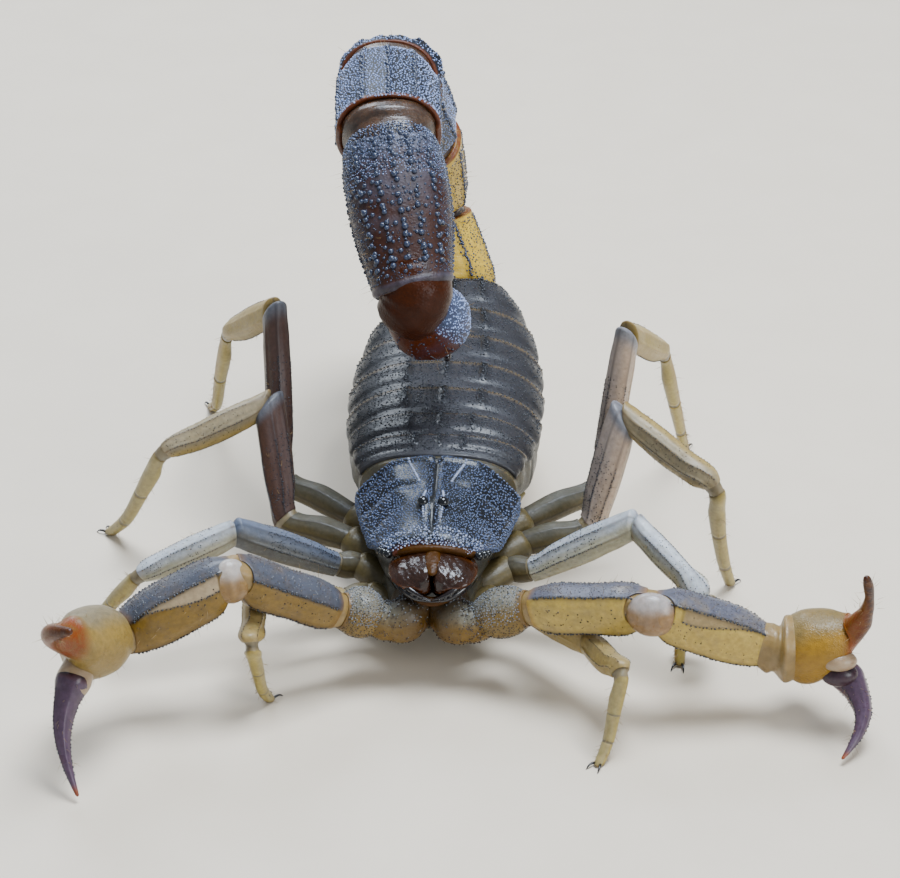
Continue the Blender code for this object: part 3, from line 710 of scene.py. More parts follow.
# Small glossy things: their colour and roughness
GLOSSY_THINGS = {
    "jaw finger horn": ((22, 12, 9), 0.16),
    "eye lens": ((9, 9, 12), 0.05),
    "claw horn": ((24, 16, 14), 0.25),
    "dark grain": ((30, 33, 42), 0.2),
    # The shield's grains are dark; the two paler colours below are painted glints on them
    "blue-grey grain": ((86, 100, 134), 0.18),
    "front grain with painted glint": ((152, 161, 186), 0.22),
    # Painted sky glint: the light colour of small tail grains that are dark
    "tail grain with painted sky glint": ((142, 162, 210), 0.22),
    "steel grain": ((46, 54, 76), 0.16),
    "pale grain": ((124, 128, 134), 0.3),
    "brown grain": ((58, 44, 34), 0.28),
    "bristle": ((160, 132, 84), 0.4),
}


def make_finishes():
    """Every finish of the animal, by its plain name."""
    found = {}
    for name, (low, high, rim, stain, roughness, more) in HORNS.items():
        found[name] = horn(name, low, high, rim, stain, roughness, **more)
    for name, (light, dark, roughness) in SOFT_SKINS.items():
        found[name] = soft(name, tint(*light), tint(*dark), roughness)
    for name, (shade, roughness) in GLOSSY_THINGS.items():
        found[name] = glossy(name, tint(*shade), roughness)
    return found


def soft(name, light, dark, roughness):
    """Soft skin with fine creases."""
    look = Finish(name, depth=0.3, coat=0.2)
    wide = look.noise(0.9, 4.0, 0.6)
    look.colour(look.mix(look.spread(wide, 0.3, 0.7), light, dark))
    look.gloss(look.spread(wide, 0.3, 0.7, roughness, roughness + 0.14))
    look.relief(look.noise(0.22, 4.0, 0.6, warp=1.2), 0.05)
    return look.material


def glossy(name, shade, roughness):
    """Hard glossy horn with a faint mottle."""
    look = Finish(name, coat=0.4)
    mottle = look.noise(0.3, 2.0)
    look.colour(look.mix(1.0, shade, look.spread(mottle, 0.2, 0.8, 0.7, 1.3), "MULTIPLY"))
    look.gloss(look.spread(mottle, 0.3, 0.7, roughness, roughness + 0.1))
    return look.material


# ---------------------------------------------------------------- what repeats

def start_tree(name, inputs):
    """A new geometry tree with these inputs and one output."""
    tree = bpy.data.node_groups.new(name, "GeometryNodeTree")
    tree.interface.new_socket("Places", in_out="INPUT", socket_type="NodeSocketGeometry")
    for label, kind in inputs:
        tree.interface.new_socket(label, in_out="INPUT", socket_type=kind)
    tree.interface.new_socket("Shapes", in_out="OUTPUT", socket_type="NodeSocketGeometry")
    return tree, tree.nodes.new("NodeGroupInput"), tree.nodes.new("NodeGroupOutput")


def place_and_paint(tree, places, shape, finish, result):
    """Sets a shape on every place, turned by facing and sized by size, and paints it."""
    facing, size = (add_node(tree, "GeometryNodeInputNamedAttribute", ("Name", mark),
                             data_type="FLOAT_VECTOR").outputs["Attribute"] for mark in ("facing", "size"))
    upright = add_node(tree, "FunctionNodeAlignRotationToVector", ("Vector", facing), axis="Z")
    placed = add_node(tree, "GeometryNodeInstanceOnPoints", ("Points", places), ("Instance", shape),
                      ("Rotation", upright.outputs["Rotation"]), ("Scale", size))
    real = add_node(tree, "GeometryNodeRealizeInstances", ("Geometry", placed.outputs["Instances"]))
    smooth = add_node(tree, "GeometryNodeSetShadeSmooth", ("Geometry", real.outputs["Geometry"]))
    painted = add_node(tree, "GeometryNodeSetMaterial", ("Geometry", smooth.outputs["Geometry"]),
                       ("Material", finish))
    tree.links.new(painted.outputs["Geometry"], result)


def grain_tree():
    """Round grains set on a surface."""
    tree, given, result = start_tree("grains", (("Fineness", "NodeSocketInt"),
                                                ("Finish", "NodeSocketMaterial")))
    lump = add_node(tree, "GeometryNodeMeshIcoSphere", ("Radius", 1.0),
                    ("Subdivisions", given.outputs["Fineness"]))
    place_and_paint(tree, given.outputs["Places"], lump.outputs["Mesh"], given.outputs["Finish"],
                    result.inputs["Shapes"])
    return tree


def bristle_tree():
    """Bent tapering bristles that stand on a surface."""
    tree, given, result = start_tree("bristles", (("Bend", "NodeSocketFloat"),
                                                  ("Finish", "NodeSocketMaterial")))
    cone = add_node(tree, "GeometryNodeMeshCone", ("Vertices", 4), ("Side Segments", 4),
                    ("Radius Top", 0.15), ("Radius Bottom", 1.0), ("Depth", 1.0))
    place = add_node(tree, "GeometryNodeInputPosition").outputs["Position"]
    height = add_node(tree, "ShaderNodeSeparateXYZ", ("Vector", place)).outputs["Z"]
    square = add_node(tree, "ShaderNodeMath", (0, height), (1, height), operation="MULTIPLY")
    pushed = add_node(tree, "ShaderNodeMath", (0, square.outputs[0]), (1, given.outputs["Bend"]),
                      operation="MULTIPLY")
    offset = add_node(tree, "ShaderNodeCombineXYZ", ("X", pushed.outputs[0]))
    bent = add_node(tree, "GeometryNodeSetPosition", ("Geometry", cone.outputs["Mesh"]),
                    ("Offset", offset.outputs["Vector"]))
    place_and_paint(tree, given.outputs["Places"], bent.outputs["Geometry"],
                    given.outputs["Finish"], result.inputs["Shapes"])
    return tree


class Crowd:
    """Places gathered for one kind of small shape; shape says how fine or how bent each one is."""

    def __init__(self, name, tree, shape, finish, slot):
        self.name, self.tree, self.shape = name, tree, shape
        self.finish, self.slot = finish, slot
        self.spots, self.facing, self.size = [], [], []

    def add(self, spots, facing, size):
        """Adds places with the way each faces and its size across and along, in millimetres."""
        spots = np.asarray(spots, float).reshape(-1, 3)
        self.spots.append(spots)
        self.facing.append(np.broadcast_to(facing, spots.shape))
        self.size.append(np.broadcast_to(size, spots.shape))

    def make(self):
        """Turns the places into one plain mesh."""
        spots = np.concatenate(self.spots) * MM
        points = bpy.data.meshes.new(self.name + "_places")
        points.from_pydata(spots.tolist(), [], [])
        for mark, values in (("facing", self.facing), ("size", self.size)):
            values = np.concatenate(values).astype(np.float32)
            values = values * MM if mark == "size" else values
            points.attributes.new(mark, "FLOAT_VECTOR", "POINT").data.foreach_set(
                "vector", values.ravel())
        holder = in_scene(bpy.data.objects.new(self.name + "_holder", points))
        modifier = holder.modifiers.new("set out", "NODES")
        modifier.node_group = self.tree
        values = [item for item in self.tree.interface.items_tree
                  if item.in_out == "INPUT" and item.socket_type != "NodeSocketGeometry"]
        modifier[values[0].identifier] = self.shape
        modifier[values[1].identifier] = self.finish
        ready = holder.evaluated_get(bpy.context.evaluated_depsgraph_get())
        mesh = bpy.data.meshes.new_from_object(ready)
        mesh.name = self.name
        spots = np.empty(3 * len(mesh.vertices), np.float32)
        mesh.vertices.foreach_get("co", spots)
        spots[2::3] = np.maximum(spots[2::3], FLOOR_GAP * MM)
        mesh.vertices.foreach_set("co", spots)
        bpy.data.objects.remove(holder)
        finished(in_scene(bpy.data.objects.new(self.name, mesh)))


def on_surface(limb, node, share, turn, relief=None):
    """Places and outward ways on a piece, with its relief counted in."""
    share, turn = np.broadcast_arrays(np.asarray(share, float), np.asarray(turn, float))
    length = limb.length(node, share)
    spots, ways = limb.point(length, turn), limb.normal(length, turn)
    if relief is not None:
        spots = spots + ways * relief(share, turn)[..., None]
    return spots, ways


def round_sizes(sizes, along=1.0):
    """Sizes of round grains in all three directions; along is their height by their width."""
    return np.stack([sizes, sizes, sizes * along], axis=1)


def grain_row(crowd, limb, node, turn, low, high, pitch, size, relief=None, grow=0.0, jitter=0.25):
    """A row of grains along a limb, pitch and size in millimetres."""
    first, last = limb.length(node, low), limb.length(node, high)
    count = max(2, int((last - first) / pitch))
    share = low + (high - low) * (np.arange(count) + 0.5) / count
    share = share + draw.uniform(-jitter, jitter, count) * (high - low) / count
    across = turn(share) if callable(turn) else np.full(count, turn)
    across = across + draw.uniform(-0.03, 0.03, count)
    spots, ways = on_surface(limb, node, share, across, relief)
    sizes = size * draw.uniform(0.75, 1.2, count) * (1.0 + grow * (share - low) / (high - low))
    crowd.add(spots, ways, round_sizes(sizes, 0.95))


def grain_field(crowd, limb, node, low, high, turns, count, size, relief=None, keep=None, gap=1.0):
    """Grains strewn over part of a piece, not too near each other."""
    share = draw.uniform(low, high, count)
    turn = draw.uniform(turns[0], turns[1], count)
    if keep is not None:
        wanted = draw.uniform(0.0, 1.0, count) < keep(share, turn)
        share, turn = share[wanted], turn[wanted]
    spots, ways = on_surface(limb, node, share, turn, relief)
    sizes = size * draw.uniform(0.55, 1.25, len(share))
    chosen = apart(spots, sizes * 2.0 * gap)
    crowd.add(spots[chosen], ways[chosen], round_sizes(sizes[chosen], 0.9))


def apart(spots, gaps):
    """Indices of places that keep clear of the ones chosen before them."""
    cell = max(gaps.max(), 1e-6)
    taken = {}
    chosen = []
    for number, (spot, gap) in enumerate(zip(spots, gaps)):
        key = tuple(np.floor(spot / cell).astype(int))
        near = [other for x in (-1, 0, 1) for y in (-1, 0, 1) for z in (-1, 0, 1)
                for other in taken.get((key[0] + x, key[1] + y, key[2] + z), ())]
        if all(np.abs(spots[other] - spot).max() > gap * 0.5
               and ((spots[other] - spot) ** 2).sum() > gap * gap for other in near):
            chosen.append(number)
            taken.setdefault(key, []).append(number)
    return np.array(chosen, int)


def bristles(crowd, limb, node, low, high, turns, count, length, thick=0.018, lean=0.5,
             relief=None):
    """Bristles strewn over part of a piece, leaning towards its far end."""
    share = draw.uniform(low, high, count)
    turn = draw.uniform(turns[0], turns[1], count)
    spots, ways = on_surface(limb, node, share, turn, relief)
    ahead = unit(limb.centre(limb.length(node, share) + 0.2) - limb.centre(limb.length(node, share)))
    ways = unit(ways + ahead * lean + draw.normal(0.0, 0.18, ways.shape))
    lengths = length * draw.uniform(0.5, 1.2, count)
    crowd.add(spots, ways, np.stack([np.full(count, thick), np.full(count, thick), lengths], axis=1))


def ball(centre, radii, ways=None, rows=14, turns=24):
    """Rows of points of a rounded lump; radii lie along the three ways."""
    ways = np.eye(3) if ways is None else np.asarray(ways, float)
    rise = np.linspace(-0.5 * PI, 0.5 * PI, rows + 2)[1:-1, None]
    turn = 2.0 * PI * np.arange(turns)[None] / turns
    parts = (np.cos(rise) * np.cos(turn), np.cos(rise) * np.sin(turn), np.sin(rise))
    return np.asarray(centre, float) + sum(
        part[..., None] * way * radius for part, way, radius in zip(parts, ways, radii))


def at(side, x, y, z):
    """Place given from the middle of the head's front edge, out to one side."""
    return NOSE + np.array([side * x, y, z])


# ---------------------------------------------------------------- head

SHIELD_LENGTH = 9.9
SHIELD_FRONT_WIDTH = 4.9
SHIELD_REAR_WIDTH = 11.8
SHIELD_FRONT_TOP = 9.9
SHIELD_REAR_TOP = 11.2
TUBERCLE_Y = 3.7             # middle of the bump that carries the main eyes
SHIELD_GRAINS = 16000        # grains tried all over the shield
FRONT_GRAINS = 1200          # and along its front
ROOT_GRAINS = 700            # grains on the root of each arm


def shield_half(y):
    """Half width of the head shield."""
    share = np.clip(y / SHIELD_LENGTH, 0.0, 1.0)
    return 0.5 * (SHIELD_FRONT_WIDTH + (SHIELD_REAR_WIDTH - SHIELD_FRONT_WIDTH) * share ** 0.62)


def shield_top(across, y):
    """Height of the shield's upper face; across is -1 to 1 over its width."""
    share = np.clip(y / SHIELD_LENGTH, 0.0, 1.0)
    x = across * shield_half(y)
    crown = SHIELD_FRONT_TOP + (SHIELD_REAR_TOP - SHIELD_FRONT_TOP) * share ** 0.55
    drop = (0.6 + 2.6 * np.minimum(1.0, share * 2.2)) * np.abs(across) ** 2.4
    bump = 0.62 * np.exp(-(x / 1.0) ** 2 - ((y - TUBERCLE_Y) / 1.3) ** 2)
    brow = 0.16 * np.exp(-((np.abs(x) - 0.60) / 0.22) ** 2 - ((y - TUBERCLE_Y) / 1.25) ** 2)
    furrow = 0.20 * hump(x, 0.0, 0.26) * (1.0 - 0.3 * ease(y, 2.6, 3.4) * fall(y, 4.2, 5.0))
    swell = 0.22 * hump(np.abs(x), 0.55 * shield_half(y), 0.9) * ease(y, 4.6, 6.4)
    cross = 0.22 * hump(y - 6.3, 0.16 * np.abs(x), 0.42) * ease(np.abs(across), 0.1, 0.4)
    rear = 0.16 * hump(y, 9.55, 0.22)
    crown = crown - 0.26 * hump(y, 0.0, 0.45)
    return crown - drop + bump + brow - furrow + swell - cross + rear


def shield_point(across, y):
    """Point on the shield's outer face; past -1 and 1 it goes on down the side."""
    over = np.clip(np.abs(across) - 1.0, 0.0, 1.0)
    flat = np.clip(across, -1.0, 1.0)
    half = shield_half(y)
    floor = np.interp(y, (0.0, 1.0, 2.6, 5.0), (8.95, 8.3, 7.6, 6.3))
    top = shield_top(flat, y)
    x = flat * half + np.sign(across) * (0.10 * np.sin(over * PI) - 0.10 * over)
    setback = 0.12 * (1.0 - flat * flat) * hump(y, 0.0, 0.5)
    return NOSE + np.stack([x, y + setback, top + (floor - top) * over], axis=-1)


def head_shield():
    """Domed granular shield with the bump for the main eyes and a rolled front rim."""
    across = np.concatenate([np.linspace(-2.0, -1.08, 12), np.linspace(-1.0, 1.0, 121),
                             np.linspace(1.08, 2.0, 12)])[None]
    y = np.concatenate([np.linspace(0.0, 0.6, 9)[:-1],
                        np.linspace(0.6, SHIELD_LENGTH - 0.05, 96)])[:, None]
    outer = shield_point(across, y)
    middle = NOSE + np.array([0.0, 5.5, 6.0])
    inner = outer + unit(middle - outer) * 0.38
    roll = hump(y, 0.0, 0.16)[..., None]
    outer = outer - roll * np.array([0.0, -0.02, 0.16])
    rim = hump(y, 0.0, 0.22) + 0.35 * ease(np.abs(across), 0.97, 1.1) * fall(y, 1.0, 4.0)
    marks = {"upper": ease(np.abs(across), 0.2, 1.0), "rim": np.clip(rim, 0.0, 1.0),
             "stain": np.exp(-((y - TUBERCLE_Y) / 1.2) ** 2 - (across * shield_half(y) / 0.9) ** 2)}
    pillow_piece("head_shield_looks", outer, inner, FINISH["shield horn"], marks,
                 ("head_shield",))


def shield_grains(crowd, fine):
    """Fine grains all over the shield, larger ones along the front rim and the brows."""
    across = draw.uniform(-1.9, 1.9, SHIELD_GRAINS)
    y = draw.uniform(0.12, SHIELD_LENGTH - 0.1, SHIELD_GRAINS)
    x = across * shield_half(y)
    keep = (np.abs(x) > 0.16) & (np.hypot(np.abs(x) - 0.75, (y - TUBERCLE_Y + 0.15) / 1.1) > 0.40)
    across, y = across[keep], y[keep]
    spots = shield_point(across, y)
    ways = unit(np.cross(shield_point(across + 0.01, y) - spots, shield_point(across, y + 0.05) - spots))
    sizes = 0.072 * draw.uniform(0.6, 1.35, len(y)) * (0.85 + 0.4 * ease(np.abs(across), 0.3, 0.9))
    chosen = apart(spots, sizes * 2.05)
    fine.add(spots[chosen], ways[chosen], round_sizes(sizes[chosen], 0.9))
    # The front rim and brow grains take the palest colour, a painted glint
    across = draw.uniform(-1.3, 1.3, FRONT_GRAINS)
    y = 0.05 + 1.5 * draw.uniform(0.0, 1.0, FRONT_GRAINS) ** 1.7
    spots = shield_point(across, y)
    sizes = 0.085 * draw.uniform(0.6, 1.3, FRONT_GRAINS)
    chosen = apart(spots, sizes * 2.2)
    crowd.add(spots[chosen], (0.0, -0.7, 0.7), round_sizes(sizes[chosen], 0.9))
    for side, _ in SIDES:
        y = np.linspace(2.3, 5.3, 17)
        out = side * (0.60 + 0.10 * np.sin((y - 2.3) / 3.0 * PI)) / shield_half(y)
        sizes = 0.10 * draw.uniform(0.8, 1.2, len(y))
        crowd.add(shield_point(out, y), (side * 0.3, 0.0, 1.0), round_sizes(sizes))
        y = np.linspace(6.9, 9.5, 13)
        sizes = 0.11 * draw.uniform(0.8, 1.2, len(y))
        out = side * (1.15 + 0.35 * (y - 6.9)) / shield_half(y)
        crowd.add(shield_point(out, y), (0.0, 0.0, 1.0), round_sizes(sizes))


def eyes():
    """Two main eyes on the bump and a row of three small lenses at each front corner."""
    for side, word in SIDES:
        low, high = (np.array(corner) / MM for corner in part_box("main_eye_" + word))
        out = unit([side * 0.85, -0.25, 0.75])
        level = unit(np.cross(out, (0.0, 1.0, 0.0)))
        centre = 0.5 * (low + high) - out * 0.10
        joined_tubes("main_eye_%s_lens" % word,
                     [ball(centre, (0.42, 0.42, 0.40), (level, np.cross(out, level), out), 20, 32)],
                     FINISH["eye lens"], ("main_eye_" + word,))
        low, high = (np.array(corner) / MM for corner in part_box("side_eyes_" + word))
        middle, row = 0.5 * (low + high), unit([side * 0.62, 0.75, -0.22])
        lenses = []
        for step, radius in ((-0.40, 0.34), (0.10, 0.33), (0.52, 0.28)):
            lenses.append(ball(middle + row * step + np.array([side * 0.05 + HEAD_LEAN, -0.20, -0.52]),
                               (radius, radius, radius * 0.95), None, 18, 28))
        joined_tubes("side_eyes_%s_lenses" % word, lenses, FINISH["eye lens"],
                     ("side_eyes_" + word,))


def hammered(spots, size):
    """Uneven swelling between about -1 and 1, with lumps about size millimetres across."""
    x, y, z = (spots[..., axis] * (2.0 * PI / size) for axis in range(3))
    first = np.sin(x + 1.7 * np.sin(0.6 * z + 0.4)) * np.sin(1.1 * z + 0.9 * np.sin(0.7 * x))
    return 0.6 * first + 0.4 * np.sin(0.9 * y + 1.3 * x) * np.sin(1.7 * z - 0.5 * y + 1.0)


def jaw_body(side):
    """Rows of points of one jaw: flat towards its neighbour, drawn out to a corner outside."""
    rows = []
    turn = 2.0 * PI * np.arange(96) / 96
    for share in np.linspace(0.0, 1.0, 46):
        full = (1.0 - share ** 4.5) ** 0.5 * (0.90 + 0.10 * ease(share, 0.0, 0.25))
        near = (1.0 - share ** 14.0) ** 0.5
        out = 1.55 + 1.50 * np.cos(turn)
        high = np.maximum(1.0 - (out / 3.06) ** 1.9, 0.0) ** 0.85
        high = high * np.where(np.sin(turn) > 0.0, 1.14, 1.30)
        wall = np.sqrt(np.clip(1.0 - ((0.55 - out) / 0.55).clip(0.0, 1.0) ** 2, 0.0, 1.0))
        out = 1.15 + (out - 1.15) * np.where(out > 1.15, full, near)
        z = 8.16 - 0.22 * share ** 2 + np.sign(np.sin(turn)) * high * wall * full
        y = 0.75 - 3.45 * share - 0.10 * np.cos(2.6 * out)
        rows.append(at(side, 0.0, 0.0, 0.0) + np.stack([side * out + HEAD_LEAN, y, z], axis=1))
    grid = np.array(rows)
    ways = unit(grid - grid.mean(axis=1, keepdims=True) + np.array([0.0, -0.6, 0.0]))
    fade = ease(np.linspace(0.0, 1.0, 46), 0.1, 0.35)[:, None]
    height = fade * (0.050 * hammered(grid, 1.1) + 0.028 * hammered(grid + 3.0, 0.55))
    return grid + ways * height[..., None], turn


# The two fingers of a jaw: radius, how far the teeth stand above the middle line, and that line
JAW_FINGERS = (
    (0.33, 0.18, ((2.85, -0.75, 7.92), (2.05, -1.95, 7.42), (1.05, -2.60, 7.06), (-0.05, -2.74, 6.84))),
    (0.24, -0.14, ((2.30, -1.80, 7.98), (1.45, -2.55, 7.66), (0.75, -2.86, 7.36), (0.05, -2.90, 7.10))))


def jaws():
    """Stout glossy jaws, each with a fixed and a movable toothed finger folded in below, and a near-black
    ball of painted shade behind them.
    """
    for side, word in SIDES:
        node = "jaw_" + word
        grid, turn = jaw_body(side)
        share = np.linspace(0.0, 1.0, len(grid))[:, None]
        edges = (0.7 * ridge(turn, 0.0, 0.40)
                 + 0.5 * ridge(turn, 1.5 * PI, 0.6) * fall(share, 0.5, 0.8)
                 + fall(share, 0.16, 0.34))
        marks = {"upper": ease(np.sin(turn), -0.5, 0.5), "rim": np.clip(edges, 0.0, 1.0),
                 # The stain darkens the inner edge where the two jaws meet: painted shade in the seam
                 "stain": 0.8 * ridge(turn, PI, 0.5) * ease(share, 0.3, 0.6)}
        tube_piece(node + "_body", grid, FINISH["jaw horn"], marks, (node,))
        rods = []
        for radius, tooth_rise, points in JAW_FINGERS:
            path = smooth_path([at(side, *point) + LEAN for point in points], 26)
            fade = np.linspace(0.0, 1.0, 26)
            radii = radius * (0.72 + 0.28 * np.sin(PI * fade)) * (1.0 - 0.8 * fade ** 2.5)
            rods.append(rounded(sweep(path, radii, turns=18)))
            # A near-black ball behind the jaws, seen through the slit between them: painted shade
            rods.append(ball(at(side, 0.7, -1.5, 7.4) + LEAN, (0.9, 0.9, 0.7), None, 16, 24))
            for place, size in ((0.50, 0.16), (0.66, 0.14), (0.82, 0.10)):
                spot = path[int(place * 25)] + np.array([0.0, -0.10, tooth_rise])
                rods.append(ball(spot, (size, size, size * 1.2), None, 6, 8))
        joined_tubes(node + "_fingers_and_shade_ball", rods, FINISH["jaw finger horn"])


def lip_line(corner, beside, middle):
    """Even line from one corner of the mouth over its middle to the other, the same on both sides."""
    corners = ((-1, corner), (-1, beside), (1, middle), (1, beside), (1, corner))
    return smooth_path([at(side, *spot) + LEAN for side, spot in corners], 60)


def mouth(grain, pale):
    """Horny lips around the jaws, the lobes of the arm roots and the skin behind them."""
    brow = lip_line((2.75, 0.40, 8.80), (1.5, 0.10, 9.26), (0.0, 0.05, 9.42))
    lip = lip_line((2.8, -0.1, 8.0), (1.6, -1.75, 7.04), (0.0, -2.40, 6.66))
    tongue = ball(at(1, 0.0, -1.0, 9.0) + LEAN, (0.60, 1.35, 0.27),
                  ((1, 0, 0), (0, 0.97, 0.24), (0, -0.24, 0.97)), 20, 32)
    joined_tubes("mouth_lips", [rounded(sweep(brow, np.full(60, 0.28), turns=24)),
                                rounded(sweep(lip, np.full(60, 0.34), turns=24)), tongue],
                 FINISH["lip horn"])
    for side, word in SIDES:
        arm_root(side, word, grain, pale)
    core = Limb([("chest", 14)], UP, NOSE + np.array([0.0, CHEST_FRONT, 4.5]))
    skin("chest_skin", core, core.knots[0] + 0.4, core.knots[-1] - 0.2, FINISH["side skin"],
         0.88, rows=60, turns=48, nodes=("chest",))
    rows = []
    turn = 2.0 * PI * np.arange(40) / 40
    for y in np.linspace(0.25, 10.6, 24):
        half = shield_half(y) - 0.45
        low, high = 4.6, np.interp(y, (0.0, 1.0, 2.6), (8.9, 8.9, 8.4))
        rows.append(NOSE + np.stack([half * np.sign(np.cos(turn)) * np.abs(np.cos(turn)) ** 0.6,
                                     np.full(40, y),
                                     0.5 * (low + high) + 0.5 * (high - low) * np.sin(turn)], axis=1))
    # The skin under the shield's sides is darkened as painted shade
    joined_tubes("head_skin", [rounded(np.array(rows))], FINISH["head skin with painted shade"])


def arm_root(side, word, grain, pale):
    """Swollen root of one arm with its lobe under the mouth."""
    path = smooth_path([at(side, 0.9, 2.6, 5.0), at(side, 1.2, 0.2, 4.85), at(side, 1.6, -1.45, 4.60),
                        at(side, 2.9, -1.75, 4.55), at(side, 4.2, -1.6, 4.9)], 60)
    share = np.linspace(0.0, 1.0, 60)
    radii = (1.35 + 0.40 * np.sin(PI * np.clip(share * 1.1, 0, 1)) - 0.10 * share
             - 0.16 * hump(share, 0.56, 0.035) - 0.10 * hump(share, 0.78, 0.03))
    grid = rounded(sweep(path, radii, turns=48, flat=0.92))
    lobe = smooth_path([at(side, 0.75, 1.6, 4.0), at(side, 0.62, -0.6, 4.2), at(side, 0.55, -1.9, 4.5)], 18)
    # The lobe's finish is darkened as painted shade
    joined_tubes("arm_%s_root" % word, [rounded(sweep(lobe, np.linspace(0.62, 0.42, 18), turns=20))],
                 FINISH["arm root horn with painted shade"])
    # Painted shade: the rim colour darkens the half of the root that lies under the head
    along = ease(np.linspace(0.0, 1.0, len(grid)), 0.50, 0.76)[:, None]
    high = grid[..., 2] - grid.mean(axis=1)[:, None, 2]
    tube_piece("arm_%s_coxa" % word, grid, FINISH["arm base horn with painted shade"],
               {"upper": ease(high, 0.0, 1.2), "rim": 1.0 - along, "stain": 0.0})
    rows = draw.integers(int(0.50 * len(grid)), int(0.92 * len(grid)), ROOT_GRAINS)
    columns = draw.integers(0, grid.shape[1], ROOT_GRAINS)
    spots = grid[rows, columns] + draw.uniform(-0.06, 0.06, (ROOT_GRAINS, 3))
    sizes = round_sizes(0.055 * draw.uniform(0.5, 1.3, ROOT_GRAINS))
    middles = grid.mean(axis=1)[rows]
    pale.add(spots[::2] + 0.09, unit(spots[::2] - middles[::2]), sizes[::2])
    grain.add(spots, unit(spots - middles), sizes)


# ---------------------------------------------------------------- body

BODY_RINGS = 7
BODY_KEELS = (0.0, math.radians(34), -math.radians(34))


def back_relief(share, turn):
    """Height of a back plate over the body: rising to its rear edge, with three keels."""
    height = 0.05 + 0.20 * ease(share, -0.1, 1.0) + 0.10 * ease(share, 0.80, 1.0)
    for keel in BODY_KEELS:
        height = height + 0.15 * ridge(turn, keel, 0.05) * ease(share, 0.25, 0.6)
    dip = 0.10 * hump(share, 0.30, 0.10) * ease(np.abs(turn), 0.15, 0.5)
    return height - dip


def belly_relief(share, turn):
    """Height of a belly plate: smooth, with a slight step at its rear edge."""
    return 0.04 + 0.12 * ease(share, 0.1, 1.0)


def plate(name, limb, node, low, high, middle, half, relief, look, marks):
    """Closed thin plate over part of a ring, with its rims turned in."""
    share = np.linspace(low, high, 30)[:, None]
    turn = middle + np.linspace(-half, half, 81)[None]
    length = limb.length(node, share)
    near_edge = np.minimum(np.minimum(share - low, high - share) / 0.05,
                           (half - np.abs(turn - middle)) / 0.05)
    drop = 0.16 * (1.0 - np.sqrt(np.clip(1.0 - (1.0 - np.clip(near_edge, 0.0, 1.0)) ** 2, 0.0, 1.0)))
    base, ways = limb.point(length, turn), limb.normal(length, turn)
    height = relief(share, turn)
    outer = base + ways * (height - drop)[..., None]
    inner = base + ways * (height - 0.34 + 0.5 * drop)[..., None]
    pillow_piece(name, outer, inner, FINISH[look], marks(share, turn), (node,))


def trunk(grain, fine, bristle):
    """Seven back plates, five belly plates and the soft skin between them."""
    limb = Limb([("body_ring_%d" % number, 18) for number in range(1, BODY_RINGS + 1)], UP,
                at(1, 0.0, 10.3, 8.0))
    skin("body_skin", limb, limb.knots[0] - 0.6, limb.knots[-1] - 0.1, FINISH["side skin"],
         0.955, wrinkle=0.035, turns=96)

    def back_marks(share, turn):
        return {"upper": np.cos(turn), "rim": ease(share, 0.9, 1.02),
                "stain": sum(ridge(turn, keel, 0.09) for keel in BODY_KEELS) * ease(share, 0.2, 0.6)}

    def belly_marks(share, turn):
        return {"upper": 0.5, "rim": ease(share, 0.86, 1.02),
                "stain": 0.4 * ease(np.abs(turn - PI), 0.8, 1.2)}

    for number in range(1, BODY_RINGS + 1):
        node = "body_ring_%d" % number
        last = number == BODY_RINGS
        low, high = (-0.04, 0.985) if last else (-0.10, 1.10)
        plate("back_plate_%d" % number, limb, node, low, high, 0.0,
              math.radians(100 if last else 82), back_relief, "back plate horn", back_marks)
        if number > 2:
            plate("under_plate_%d" % number, limb, node, -0.06, 0.985 if last else 1.08, PI,
                  math.radians(78 if last else 66), belly_relief, "belly plate horn",
                  belly_marks)
        grain_field(fine, limb, node, 0.12, 1.0, (-1.35, 1.35), 1500, 0.075, back_relief,
                    lambda share, turn: 0.35 + 0.65 * ease(share, 0.35, 0.8))
        for keel in BODY_KEELS:
            grain_row(grain, limb, node, keel, 0.35, 1.04, 0.24, 0.10, back_relief)
        # Two small grains at the front of the middle keel
        grain_row(grain, limb, node, 0.0, 0.0, 0.01, 1.0, 0.06, back_relief)
        edge = np.linspace(-1.36, 1.36, 60)
        spots, ways = on_surface(limb, node, 0.96 if last else 1.03, edge, back_relief)
        sizes = 0.085 * draw.uniform(0.7, 1.25, len(edge))
        grain.add(spots, ways, round_sizes(sizes))
        bristles(bristle, limb, node, 0.2, 0.9, (1.9, 4.4), 14, 0.6, relief=belly_relief)
    slits = []
    for number in range(3, 7):
        for side, _ in SIDES:
            spots, ways = on_surface(limb, "body_ring_%d" % number, 0.55,
                                     PI - side * (0.62 + 0.15 * np.linspace(-1.0, 1.0, 9)), belly_relief)
            radii = 0.10 * np.sqrt(np.clip(1.0 - np.linspace(-0.97, 0.97, 9) ** 2, 0.0, 1.0)) + 0.02
            slits.append(sweep(spots - ways * 0.03, radii, ways[0], 10, 1.5))
    joined_tubes("breathing_slits", slits, FINISH["claw horn"])


# Inner end of each leg root and its radius
LEG_LOBES = ((0.55, -0.3, 4.0, 0.86), (0.62, 2.4, 3.95, 0.98), (0.8, 6.1, 3.95, 1.06),
             (1.1, 9.4, 4.0, 1.12))


